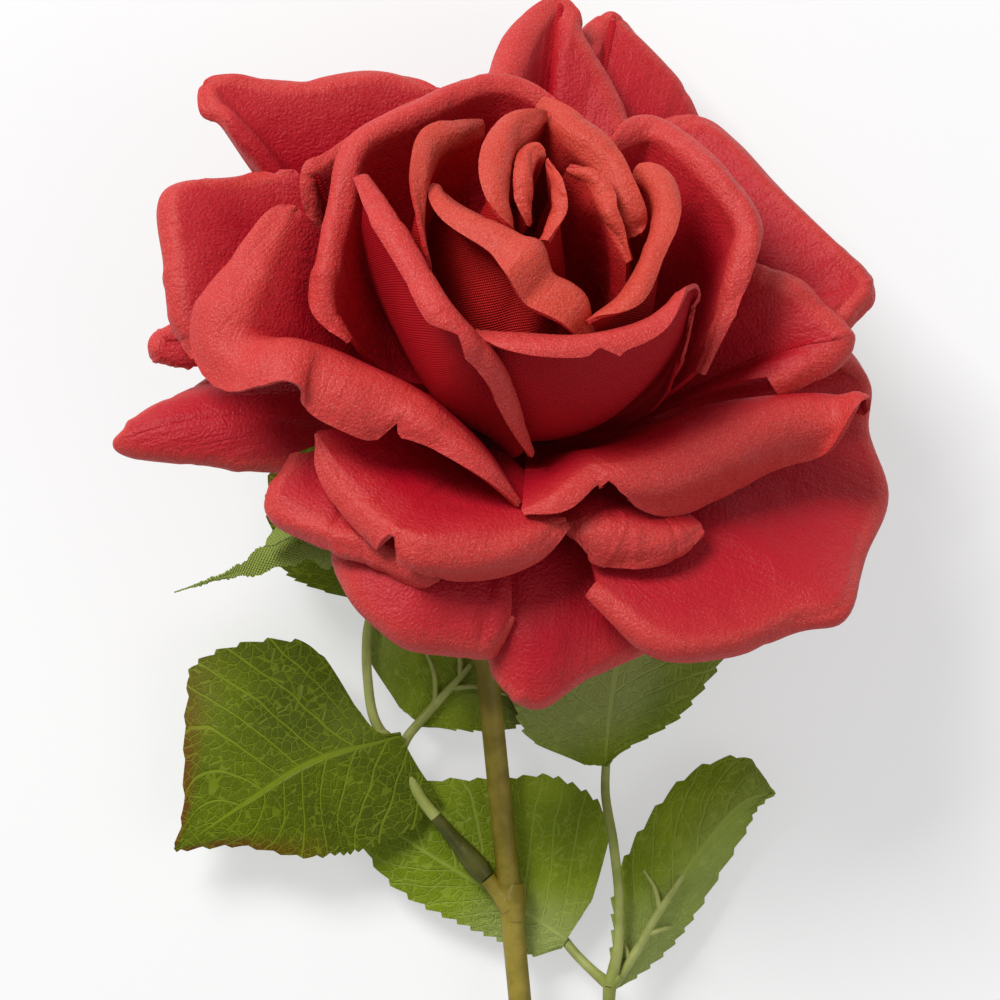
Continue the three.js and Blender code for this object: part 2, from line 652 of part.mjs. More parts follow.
// Leaves: the rib's path and, looking from the tip to the base, [width, fall in degrees] of the left half
// and the right half. The carrying rib of the spray runs under the leaf, or over it where "ribOver" is set.
const LEAVES = [
  {
    name: 'leaf_left_front', spray: 'left',
    petiole: [[-19.4, -43.2, -29.2]],
    rib: [[-20.3, -42.5, -27.4], [-32.5, -45.6, -25.6], [-43, -52, -26], [-56.8, -61.2, -29]],
    halves: [[16.5, 4], [22.5, 4]],
  },
  {
    name: 'leaf_left_stem', spray: 'left', ribOver: true,
    petiole: [[-16, -41.2, -30.5]],
    rib: [[-14.3, -39.2, -32], [-8.2, -32.4, -32.3], [-2.1, -26.7, -32.4], [15.7, -17.5, -32]],
    halves: [[16, 4], [14, 4]],
  },
  {
    name: 'leaf_left_top', spray: 'left',
    petiole: [[-21.5, -39.5, -30], [-23.2, -31, -30], [-23.3, -24, -30]],
    rib: [[-22, -17.5, -28.8], [-24, -8, -28], [-30, 7, -27.6], [-35, 19.2, -27.5]],
    halves: [[14, 5], [14, 5]],
  },
  {
    name: 'leaf_right_stem', spray: 'right',
    petiole: [[16.6, -82.8, -30.6], [13.4, -79.8, -33]],
    rib: [[11.7, -77.6, -32.7], [2, -71.5, -32.9], [-10, -64.5, -32.9], [-27.6, -52.8, -32.6]],
    halves: [[9, 8], [23, 2]],
  },
  {
    name: 'leaf_right_top', spray: 'right',
    petiole: [[20.5, -78.7, -26.9], [20.8, -69.9, -26.6], [19.8, -60, -26.8], [18.4, -50.5, -28.9]],
    rib: [[18.5, -46.5, -27.8], [19.5, -36, -27.6], [22, -20, -27.6], [24.5, -6.1, -28]],
    halves: [[15, 4], [19, 4]],
  },
  {
    name: 'leaf_right_side', spray: 'right', ribOver: true,
    petiole: [[20.6, -83.4, -27.8]],
    rib: [[21, -84.2, -30.4], [24.5, -77.8, -29.4], [33.5, -64.5, -29], [48.1, -51, -30]],
    halves: [[12.5, 12], [8, 45]],
  },
];

// The leaf's middle surface: s runs -1 to 1 across, t 0 to 1 from base to tip; t also sets the teeth.
function leafSurface(leaf) {
  const rib = new THREE.CatmullRomCurve3(leaf.rib.map((point) => new THREE.Vector3(...point)));
  return (s, t) => {
    const middle = rib.getPoint(t);
    const way = rib.getTangent(t);
    const side = new THREE.Vector3(0, 0, 1).cross(way).normalize();
    const [width, fall] = leaf.halves[s < 0 ? 0 : 1];
    const outline = Math.sin(Math.PI * t ** 0.8) ** (0.6 + 0.6 * t);
    const tooth = TOOTH_DEPTH * Math.sin(Math.PI * LEAF_TEETH * t) ** 2;
    const reach = Math.abs(s) * Math.max(width * outline + tooth - TOOTH_DEPTH, 0.4);
    return middle
      .addScaledVector(side, -Math.sign(s) * reach * Math.cos(degToRad(fall)))
      .add(new THREE.Vector3(0, 0, -reach * Math.sin(degToRad(fall))));
  };
}

for (const leaf of LEAVES) {
  const rows = stations(2 * LEAF_TEETH, 0, 1);
  const geometry = sheetSolid(leafSurface(leaf), [-1, 0, 1], rows, LEAF_THICKNESS);
  add(rose, leaf.name, geometry, COLOURS.leafGreen, 0.6);
}

// Sprays: the socket on the stem's peg, the main petiole to the knot, and a petiole with its rib
// to each leaf.
const SPRAYS = [
  { name: 'spray_left', side: 'left', joint: LEFT_JOINT, knot: [-17.8, -44.3, -30.4] },
  { name: 'spray_right', side: 'right', joint: RIGHT_JOINT, knot: [19.2, -84.8, -27.8] },
];

function pointOnJoint(joint, length) {
  const angle = degToRad(joint.angle);
  const [x, y, z] = joint.at;
  return [x + length * Math.cos(angle), y + length * Math.sin(angle), z];
}

function sprayGeometry({ side, joint, knot }) {
  const mouth = STUB_LENGTH + CLEARANCE;
  const bore = PEG_RADIUS + CLEARANCE;
  const ceiling = STUB_LENGTH + PEG_LENGTH + CLEARANCE;
  const neck = mouth + SPRAY_SOCKET_LENGTH;
  const socket = turned([
    [0, ceiling],
    [bore, ceiling],
    [bore, mouth],
    [SPRAY_SOCKET_RADIUS, mouth],
    [SPRAY_SOCKET_RADIUS, ceiling],
    [SPRAY_NECK_RADIUS, neck],
    [0, neck],
  ], 10);
  const main = [pointOnJoint(joint, neck - 1), pointOnJoint(joint, neck + 3), knot];
  const pieces = [
    onJoint(socket, joint),
    rod(main, MAIN_PETIOLE_RADIUS, TUBE_SIDES, 6),
    new THREE.SphereGeometry(KNOT_RADIUS, 6, 4).translate(...knot),
  ];
  for (const leaf of LEAVES.filter((each) => each.spray === side)) {
    const curve = new THREE.CatmullRomCurve3(leaf.rib.map((point) => new THREE.Vector3(...point)));
    const offset = LEAF_THICKNESS / 2 + CLEARANCE + PETIOLE_RADIUS;
    const rib = [0.04, 0.2, 0.38, RIB_REACH].map((t) => {
      const point = curve.getPoint(t);
      point.z += leaf.ribOver ? offset : -offset;
      return point.toArray();
    });
    pieces.push(rod([knot, ...leaf.petiole, ...rib], PETIOLE_RADIUS, TUBE_SIDES, 10));
  }
  return joined(pieces);
}
for (const spray of SPRAYS) {
  add(rose, spray.name, sprayGeometry(spray), COLOURS.petioleGreen, 0.6);
}

// The origin is at the middle of the surface that the rose lies on.
const box = new THREE.Box3().setFromObject(rose, true);
const middle = box.getCenter(new THREE.Vector3());
rose.position.set(-middle.x, -middle.y, -box.min.z);

export default rose;
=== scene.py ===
"""Looks of an artificial rose that lies on its back: foam petals with rolled lips, woven sepals,
a moulded stem with two sprays, and printed cloth leaves. Shapes are worked out in millimetres."""

import math

import bpy
import numpy as np
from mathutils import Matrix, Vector


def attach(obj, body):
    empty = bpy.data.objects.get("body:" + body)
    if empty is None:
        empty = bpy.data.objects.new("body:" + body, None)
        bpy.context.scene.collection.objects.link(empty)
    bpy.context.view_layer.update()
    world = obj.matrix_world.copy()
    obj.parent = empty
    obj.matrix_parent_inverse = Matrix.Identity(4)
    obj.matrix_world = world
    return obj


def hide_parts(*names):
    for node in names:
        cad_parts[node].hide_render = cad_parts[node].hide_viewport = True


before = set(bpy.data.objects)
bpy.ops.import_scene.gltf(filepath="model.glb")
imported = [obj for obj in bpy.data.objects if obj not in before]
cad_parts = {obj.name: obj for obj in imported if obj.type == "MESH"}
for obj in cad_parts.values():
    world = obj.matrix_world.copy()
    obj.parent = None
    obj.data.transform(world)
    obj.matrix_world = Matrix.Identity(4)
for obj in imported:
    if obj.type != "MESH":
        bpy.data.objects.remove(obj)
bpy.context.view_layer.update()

# Flower head, receptacle and rings of petal feet, as on the part, in millimetres and degrees.
HEAD_PITCH = 45.0
HEAD_LEAN = 16.0
HEAD_X, HEAD_Y = 2.0, 14.5
SEAT_RADIUS = 18.0
SEAT_RISE = 6.5
SHOULDER = (12.0, -8.0)
NECK = (5.0, -16.0)
RECEPTACLE_DEPTH = 22.0
SOCKET_DEPTH = 8.0
CLEARANCE = 0.3
PETAL_THICKNESS = 0.8
FIRST_SEAT = 3.0
SEAT_STEP = 1.6
RINGS = [FIRST_SEAT + ring * SEAT_STEP for ring in range(9)]
HEART, BUD, INNER_RING, CUP, WRAP, MIDDLE, OUTER, GUARD, BASE = RINGS

# The middle of the measured picture, at the depth of the seat, in the part's own frame.
SHIFT = np.array([-0.42556, 61.68230, 39.75510])
CAMERA_HEIGHT = 1000.0
CAMERA_LENS = 211.8

rng = np.random.default_rng(8577)


def head_axes():
    """Right, away from the stem, and along the flower's axis, as unit vectors."""
    pitch, lean = math.radians(HEAD_PITCH), math.radians(HEAD_LEAN)
    axis = np.array([math.sin(lean) * math.cos(pitch), math.cos(lean) * math.cos(pitch), math.sin(pitch)])
    right = np.array([math.cos(lean), -math.sin(lean), 0.0])
    return right, np.cross(axis, right), axis


RIGHT, BACK, AXIS = head_axes()


def to_part(points):
    """Millimetres in the picture's frame to metres in the part's frame."""
    return (np.asarray(points) + SHIFT) / 1000


def from_head(points):
    """The flower's own frame (right, away from the stem, along its axis) to the picture's frame."""
    points = np.asarray(points)
    head = np.array([HEAD_X, HEAD_Y, 0.0])
    return head + points[..., 0:1] * RIGHT + points[..., 1:2] * BACK + points[..., 2:3] * AXIS


def polar(azimuth, radius, height):
    """Points of the flower's frame by azimuth in degrees, distance from the axis, and height."""
    angle = np.radians(azimuth)
    x, y = radius * np.sin(angle), -radius * np.cos(angle)
    return np.stack(np.broadcast_arrays(x, y, height), -1).astype(float)


def unit(vectors):
    return vectors / (np.linalg.norm(vectors, axis=-1, keepdims=True) + 1e-12)


def spline(points, place):
    """Catmull-Rom curve through the points, place from 0 to 1."""
    points = np.asarray(points, float)
    count = len(points) - 1
    wide = np.vstack([2 * points[0] - points[1], points, 2 * points[-1] - points[-2]])
    t = np.clip(place, 0, 1) * count
    k = np.minimum(t.astype(int), count - 1)
    w = (t - k)[..., None]
    a, b, c, d = wide[k], wide[k + 1], wide[k + 2], wide[k + 3]
    square = (2 * a - 5 * b + 4 * c - d) * w**2
    cube = (3 * b - a - 3 * c + d) * w**3
    return 0.5 * (2 * b + (c - a) * w + square + cube)


def way_along(points, place, step=1e-3):
    """Unit direction of the spline at a place."""
    ahead, behind = np.clip(place + step, 0, 1), np.clip(place - step, 0, 1)
    return unit(spline(points, ahead) - spline(points, behind))


def along(values, place):
    """The value at a place from 0 to 1 on a list of evenly spaced values, or of one value for all."""
    if not isinstance(values, (list, tuple)):
        return np.full_like(place, float(values))
    return spline(np.array(values, float)[:, None], place)[..., 0]


def smooth(x, low, high):
    """A smooth step from 0 at low to 1 at high."""
    t = np.clip((x - low) / (high - low), 0, 1)
    return t * t * (3 - 2 * t)


# Meshes


def new_object(name, points, faces, uvs, materials, face_slots=None, sharp=50, layers=None):
    """A smooth-shaded mesh from points in the picture's frame; uvs and layers are per point.
    Edges that turn by more than sharp degrees stay sharp."""
    mesh = bpy.data.meshes.new(name)
    mesh.from_pydata(to_part(points).tolist(), [], faces)
    mesh.update()
    loops = np.zeros(len(mesh.loops), np.int32)
    mesh.loops.foreach_get("vertex_index", loops)
    uv_map = mesh.uv_layers.new(name="UVMap")
    uv_map.data.foreach_set("uv", np.asarray(uvs, np.float32)[loops].ravel())
    for key, values in (layers or {}).items():
        attribute = mesh.attributes.new(key, "FLOAT", "POINT")
        attribute.data.foreach_set("value", np.asarray(values, np.float32).ravel())
    for material in materials:
        mesh.materials.append(material)
    if face_slots is not None:
        mesh.polygons.foreach_set("material_index", np.asarray(face_slots, np.int32))
    mesh.polygons.foreach_set("use_smooth", np.ones(len(mesh.polygons), bool))
    mesh.set_sharp_from_angle(angle=math.radians(sharp))
    mesh.validate()
    obj = bpy.data.objects.new(name, mesh)
    bpy.context.scene.collection.objects.link(obj)
    return obj


def grid_faces(rows, columns, start=0, flip=False, ring=False):
    """Faces over a grid of points that are numbered row by row from start."""
    faces = []
    last = columns if ring else columns - 1
    for i in range(rows - 1):
        for j in range(last):
            k = (j + 1) % columns
            a, b = start + i * columns + j, start + i * columns + k
            c, d = start + (i + 1) * columns + k, start + (i + 1) * columns + j
            faces.append((a, d, c, b) if flip else (a, b, c, d))
    return faces


def normals_of(grid, ring=False):
    """Unit normals of a grid of points."""
    if ring:
        wide = np.concatenate([grid[:, -1:], grid, grid[:, :1]], 1)
        across = np.gradient(wide, axis=1)[:, 1:-1]
    else:
        across = np.gradient(grid, axis=1)
    outwards = np.gradient(grid, axis=0)
    return unit(np.cross(across, outwards))


def sheet_object(name, grid, thickness, uvs, materials, layers=None, ring=False, sharp=50):
    """A closed sheet of that thickness round a grid of points: the first material on its outside,
    the second on its inside, the third on its edge. In a ring, the last column meets the first."""
    rows, columns = grid.shape[:2]
    half = normals_of(grid, ring) * (thickness / 2)
    points = np.concatenate([(grid + half).reshape(-1, 3), (grid - half).reshape(-1, 3)])
    size = rows * columns
    faces = grid_faces(rows, columns, ring=ring)
    faces_in = grid_faces(rows, columns, start=size, flip=True, ring=ring)
    edge = []
    top = (rows - 1) * columns
    for j in range(columns if ring else columns - 1):
        k = (j + 1) % columns
        edge.append((j, size + j, size + k, k))
        edge.append((top + k, size + top + k, size + top + j, top + j))
    if not ring:
        for i in range(rows - 1):
            a, b = i * columns, (i + 1) * columns
            edge.append((b, size + b, size + a, a))
            a, b = a + columns - 1, b + columns - 1
            edge.append((a, size + a, size + b, b))
    slots = [0] * len(faces) + [1] * len(faces_in) + [2] * len(edge)
    both = np.concatenate([uvs.reshape(-1, 2), uvs.reshape(-1, 2)])
    extra = {key: np.concatenate([value.ravel(), value.ravel()]) for key, value in (layers or {}).items()}
    return new_object(name, points, faces + faces_in + edge, both, materials, slots, sharp, extra)


def tube(points, radii, sides, steps):
    """Points, faces and uvs of a round rod through the points, with closed ends. The radii are
    evenly spaced along it."""
    points = np.asarray(points, float)
    place = np.linspace(0, 1, steps + 1)
    lengths = np.concatenate([[0], np.cumsum(np.linalg.norm(np.diff(points, axis=0), axis=1))])
    knots = lengths / lengths[-1]
    fine = np.stack([smooth_path(knots, points[:, k], place) for k in range(3)], -1)
    radius = np.interp(place, np.linspace(0, 1, len(radii)), radii)
    tangent = unit(np.gradient(fine, axis=0))
    along_no_rod = [0.3, 0.2, 1.0]
    side = unit(np.cross(tangent[0], along_no_rod))
    angle = np.linspace(0, 2 * math.pi, sides, endpoint=False)
    rings, uvs = [], []
    for k in range(steps + 1):
        side = unit(side - tangent[k] * side.dot(tangent[k]))
        other = np.cross(tangent[k], side)
        rings.append(fine[k] + radius[k] * (np.cos(angle)[:, None] * side + np.sin(angle)[:, None] * other))
        uvs.append(np.stack([angle * radius[k], np.full(sides, place[k] * lengths[-1])], -1))
    first = (steps + 1) * sides
    last, top = first + 1, first - sides
    faces = grid_faces(steps + 1, sides, ring=True)
    faces += [(first, (j + 1) % sides, j) for j in range(sides)]
    faces += [(last, top + j, top + (j + 1) % sides) for j in range(sides)]
    ends = np.array([[0, 0], [0, lengths[-1]]])
    return np.concatenate(rings + [fine[:1], fine[-1:]]), faces, np.concatenate(uvs + [ends])


def smooth_path(knots, values, place):
    """Values at places from 0 to 1, on a Hermite curve through the values at the knots."""
    slopes = np.gradient(values, knots)
    k = np.clip(np.searchsorted(knots, place, side="right") - 1, 0, len(knots) - 2)
    width = knots[k + 1] - knots[k]
    t = (place - knots[k]) / width
    h00, h10 = 2 * t**3 - 3 * t**2 + 1, t**3 - 2 * t**2 + t
    h01, h11 = -2 * t**3 + 3 * t**2, t**3 - t**2
    return h00 * values[k] + h10 * width * slopes[k] + h01 * values[k + 1] + h11 * width * slopes[k + 1]


def merged(parts):
    """One set of points, faces and uvs from several."""
    points, faces, uvs, count = [], [], [], 0
    for part_points, part_faces, part_uvs in parts:
        points.append(part_points)
        faces += [tuple(index + count for index in face) for face in part_faces]
        uvs.append(part_uvs)
        count += len(part_points)
    return np.concatenate(points), faces, np.concatenate(uvs)


# Materials


class Shader:
    """A material whose nodes are added and joined by short calls."""

    def __init__(self, name, roughness, specular, sheen=0.0):
        self.material = bpy.data.materials.new(name)
        self.material.use_nodes = True
        self.tree = self.material.node_tree
        self.surface = self.tree.nodes["Principled BSDF"]
        self.surface.inputs["Roughness"].default_value = roughness
        self.surface.inputs["Specular IOR Level"].default_value = specular
        self.surface.inputs["Sheen Weight"].default_value = sheen
        self.surface.inputs["Sheen Roughness"].default_value = 0.5

    def put(self, socket, value):
        """Sets a socket to a value, or joins it to the output that is given."""
        if hasattr(value, "is_output"):
            self.tree.links.new(value, socket)
        else:
            socket.default_value = value

    def node(self, kind, inputs, output=0, **settings):
        """The output of a new node whose settings and inputs are given."""
        node = self.tree.nodes.new("ShaderNode" + kind)
        for key, value in settings.items():
            setattr(node, key, value)
        for key, value in inputs.items():
            self.put(node.inputs[key], value)
        return node.outputs[output]

    def math(self, operation, *values, clamp=False):
        return self.node("Math", dict(enumerate(values)), operation=operation, use_clamp=clamp)

    def ramp(self, value, low, high):
        """A smooth step from 0 at low to 1 at high."""
        inputs = {"Value": value, "From Min": low, "From Max": high}
        return self.node("MapRange", inputs, "Result", interpolation_type="SMOOTHSTEP")

    def mix(self, share, a, b):
        """Colour a where the share is 0, and b where it is 1."""
        return self.node("Mix", {"Factor": share, "A": a, "B": b}, "Result", data_type="RGBA")

    def noise(self, scale, detail, roughness=0.55, vector=None):
        """Cloudy values round 0.5, about scale clouds a metre unless a vector is given."""
        inputs = {"Scale": scale, "Detail": detail, "Roughness": roughness}
        return self.node("TexNoise", inputs | {"Vector": self.place() if vector is None else vector}, "Fac")

    def cells(self, scale, vector):
        """Distance from the borders between irregular cells."""
        inputs = {"Scale": scale, "Vector": vector}
        return self.node("TexVoronoi", inputs, "Distance", feature="DISTANCE_TO_EDGE")

    def place(self):
        """The shaded point in metres."""
        return self.node("TexCoord", {}, "Object")

    def uv(self):
        return self.node("TexCoord", {}, "UV")

    def rise(self, way, origin):
        """Distance in metres of the shaded point along a direction from an origin."""
        inputs = {0: self.place(), 1: tuple(way)}
        run = self.node("VectorMath", inputs, "Value", operation="DOT_PRODUCT")
        return self.math("SUBTRACT", run, float(np.dot(way, origin)))

    def parts_of(self, vector):
        """The first two numbers of a vector."""
        first = self.node("SeparateXYZ", {0: vector})
        return first, first.node.outputs[1]

    def layer(self, name):
        """A value that the mesh holds for each of its points."""
        return self.node("Attribute", {}, "Fac", attribute_name=name)

    def colour(self, value):
        self.put(self.surface.inputs["Base Color"], value)

    def bump(self, height, depth):
        """Height 0 to 1 as relief of that depth in metres."""
        normal = self.node("Bump", {"Height": height, "Distance": depth}, "Normal")
        self.put(self.surface.inputs["Normal"], normal)

    def pleats(self):
        """Uneven fine ridges that run from a petal's foot to its rim."""
        ridges_per_mm, breaks_per_mm = 0.75, 0.07
        u, v = self.parts_of(self.uv())
        u, v = self.math("MULTIPLY", u, ridges_per_mm), self.math("MULTIPLY", v, breaks_per_mm)
        return self.noise(scale=1.0, detail=2, roughness=0.6, vector=self.node("CombineXYZ", {0: u, 1: v}))

    def weave(self, pitch):
        """Height of a plain weave of that pitch in millimetres, over the UV map in millimetres."""
        u, v = self.parts_of(self.uv())
        turn = 2 * math.pi / pitch
        first = self.math("SINE", self.math("MULTIPLY", u, turn))
        second = self.math("SINE", self.math("MULTIPLY", v, turn))
        return self.math("MULTIPLY_ADD", self.math("MULTIPLY", first, second), 0.5, 0.5)


def rgb(red, green, blue):
    """A shader colour from the 0 to 255 values of a screen colour."""
    channels = [value / 255 for value in (red, green, blue)]
    return tuple(c / 12.92 if c <= 0.04045 else ((c + 0.055) / 1.055) ** 2.4 for c in channels) + (1.0,)


def foam_face(name, deep, pale):
    """Smooth inner face of a petal: heat-formed foam with faint creases. Its colour runs from deep red low on
    the petal, as painted shade, to paler on the rolled lips at the rim, as painted highlight, with random
    mottling and pale specks.
    """
    shader = Shader(name, roughness=0.5, specular=0.26)
    mottle = shader.noise(scale=90, detail=1)
    # Painted light: three quarters of the share follow the rim, a painted highlight on the lips and painted
    # shade lower down; a quarter is random mottling.
    share = shader.math("MULTIPLY", shader.layer("rim"), 0.75)
    share = shader.math("ADD", share, shader.math("MULTIPLY", mottle, 0.25), clamp=True)
    # Pale specks, strongest where the rim is painted lighter.
    specks = shader.ramp(shader.noise(scale=4200, detail=0), low=0.5, high=0.72)
    specks = shader.math("MULTIPLY", specks, shader.math("MULTIPLY", share, 0.34))
    speck_colour = rgb(232, 128, 118)
    shader.colour(shader.mix(specks, shader.mix(share, deep, pale), speck_colour))
    grain = shader.noise(scale=1900, detail=1)
    dents = shader.math("MULTIPLY", shader.noise(scale=220, detail=1), 1.8)
    pleats = shader.math("MULTIPLY", shader.pleats(), 0.9)
    relief = shader.math("ADD", shader.math("ADD", grain, dents), pleats)
    shader.bump(relief, depth=0.00024)
    return shader.material


def cloth_face(name, deep, pale):
    """Outer face of a petal: the foam's fine woven backing."""
    shader = Shader(name, roughness=0.6, specular=0.22)
    height = shader.weave(pitch=0.62)
    mottle = shader.noise(scale=70, detail=1)
    threads, patches = (shader.math("MULTIPLY", value, 0.5) for value in (height, mottle))
    share = shader.math("ADD", threads, patches, clamp=True)
    shader.colour(shader.mix(share, deep, pale))
    shader.bump(shader.math("ADD", height, shader.math("MULTIPLY", mottle, 0.8)), depth=0.00018)
    return shader.material


def plastic(name, dark, light, roughness=0.45):
    """Moulded plastic or plain foam with soft patches and a faint grain."""
    shader = Shader(name, roughness, specular=0.35)
    patches = shader.ramp(shader.noise(scale=140, detail=4), low=0.35, high=0.68)
    shader.colour(shader.mix(patches, dark, light))
    shader.bump(shader.noise(scale=900, detail=3), depth=0.00015)
    return shader.material


def leaf_face(name, dark, mid, vein, vein_strength, painted_sheen, blush=None):
    """Printed cloth leaf with a midrib, side veins, a net of fine veins, pale patches of painted sheen
    and, if given, a blush towards the rim and tip. The UV map is in millimetres; the layer side
    holds the share from midrib to rim, and the layer run the share from base to tip."""
    shader = Shader(name, roughness=0.5, specular=0.16)
    side, run = shader.layer("side"), shader.layer("run")
    wobble = shader.math("SUBTRACT", shader.noise(scale=60, detail=2), 0.5)
    phase = shader.math("SUBTRACT", run, shader.math("MULTIPLY", side, VEIN_SLANT))
    phase = shader.math("ADD", phase, shader.math("MULTIPLY", wobble, 0.09))
    phase = shader.math("MULTIPLY", phase, SIDE_VEINS)
    ripple = shader.math("ABSOLUTE", shader.math("SUBTRACT", shader.math("FRACT", phase), 0.5))
    side_vein = shader.ramp(ripple, low=0.075, high=0.02)
    middle = shader.ramp(side, low=0.045, high=0.015)
    net = shader.ramp(shader.cells(scale=0.62, vector=shader.uv()), low=0.10, high=0.02)
    fine = shader.ramp(shader.cells(scale=1.5, vector=shader.uv()), low=0.09, high=0.02)
    lines = shader.math("MAXIMUM", middle, side_vein)
    web = shader.math("MAXIMUM", shader.math("MULTIPLY", net, 0.7), shader.math("MULTIPLY", fine, 0.35))
    lines = shader.math("MAXIMUM", lines, web)
    shade = shader.ramp(shader.noise(scale=55, detail=3), low=0.3, high=0.7)
    body = shader.mix(shade, dark, mid)
    # Painted sheen: broad pale patches that stand in for the sheen of the leaf under the lamp.
    sheen_patches = shader.ramp(shader.noise(scale=26, detail=1), low=0.48, high=0.68)
    sheen_patch_colour = rgb(186, 198, 134)
    body = shader.mix(shader.math("MULTIPLY", sheen_patches, painted_sheen), body, sheen_patch_colour)
    if blush:
        rim, tip = shader.ramp(side, low=0.55, high=1.0), shader.ramp(run, low=0.35, high=0.9)
        body = shader.mix(shader.math("MULTIPLY", rim, tip), body, blush)
    shader.colour(shader.mix(shader.math("MULTIPLY", lines, vein_strength), body, vein))
    grooves = shader.math("MULTIPLY", lines, 0.9)
    shader.bump(shader.math("SUBTRACT", shader.noise(scale=600, detail=2), grooves), depth=0.0002)
    return shader.material


def woven_green(name):
    """Coarse green cloth whose threads are paler than the gaps between them."""
    shader = Shader(name, roughness=0.8, sheen=0.2, specular=0.2)
    height = shader.weave(pitch=0.55)
    patches = shader.math("MULTIPLY", shader.noise(scale=80, detail=3), 0.5)
    blend = shader.math("MULTIPLY_ADD", height, 0.6, patches)
    shader.colour(shader.mix(blend, rgb(100, 124, 26), rgb(184, 204, 96)))
    shader.bump(height, depth=0.0003)
    return shader.material


def receptacle_skin(name):
    """Green moulded plastic below, stained by the red foam glued on its seat."""
    shader = Shader(name, roughness=0.6, specular=0.3)
    rise = shader.rise(AXIS, to_part(from_head(np.zeros(3))))
    stained = shader.ramp(rise, low=-0.003, high=-0.001)
    green = shader.mix(shader.noise(scale=140, detail=3), rgb(120, 116, 40), rgb(150, 144, 64))
    shader.colour(shader.mix(stained, green, rgb(120, 8, 18)))
    shader.bump(shader.noise(scale=900, detail=3), depth=0.00015)
    return shader.material


# Both the print and the relief of a leaf follow its side veins.
SIDE_VEINS = 9
VEIN_SLANT = 0.26

# For the foam faces, the first colour is the painted shade low on the petal and the second the painted
# highlight on its rim.
RED_INSIDE = foam_face("petal inside", rgb(182, 0, 32), rgb(206, 58, 54))
RED_OUTSIDE = cloth_face("petal outside", rgb(168, 0, 24), rgb(204, 24, 34))
RED_EDGE = foam_face("petal edge", rgb(178, 6, 30), rgb(194, 40, 38))
CORAL_INSIDE = foam_face("inner petal inside", rgb(184, 4, 26), rgb(206, 68, 50))
CORAL_OUTSIDE = cloth_face("inner petal outside", rgb(176, 6, 18), rgb(200, 30, 26))
# Each leaf face gets patches of painted sheen, faint on the upper face and strong on the under face.
LEAF_TOP = leaf_face(
    "leaf upper face", dark=rgb(70, 84, 0), mid=rgb(98, 114, 0), vein=rgb(146, 164, 36),
    vein_strength=0.42, painted_sheen=0.1, blush=rgb(110, 60, 10),
)
LEAF_UNDER = leaf_face(
    "leaf under face", dark=rgb(108, 130, 2), mid=rgb(146, 168, 30), vein=rgb(196, 208, 110),
    vein_strength=0.22, painted_sheen=0.5,
)
LEAF_EDGE = plastic("leaf edge", rgb(110, 120, 30), rgb(140, 150, 50))
STEM_SKIN = plastic("stem skin", rgb(122, 108, 24), rgb(160, 142, 54), 0.42)
PETIOLE_SKIN = plastic("petiole skin", rgb(148, 158, 74), rgb(184, 190, 112), 0.45)
RECEPTACLE_SKIN = receptacle_skin("receptacle skin")
SOCKET_SKIN = plastic("socket skin", rgb(62, 66, 18), rgb(92, 92, 34), 0.4)
SEPAL_CLOTH = woven_green("sepal cloth")
PLUG = plastic("bud core foam", rgb(110, 16, 20), rgb(140, 26, 28), 0.8)

# Petals

SPREAD = dict(bow=[-25, -20], roll=3, curl=150, inset=0.8, inner=False)
UPRIGHT = dict(bow=[35, 25], roll=2.5, curl=150, inset=0, inner=False)
WOUND = dict(bow=[35, 30], roll=2.8, curl=140, inset=0, inner=True)


def entry(kind, name, seat, foot, crest, lip, **more):
    """One petal's values, laid over those of its kind."""
    return dict(kind) | dict(name=name, seat=seat, foot=foot, crest=crest, lip=lip) | more


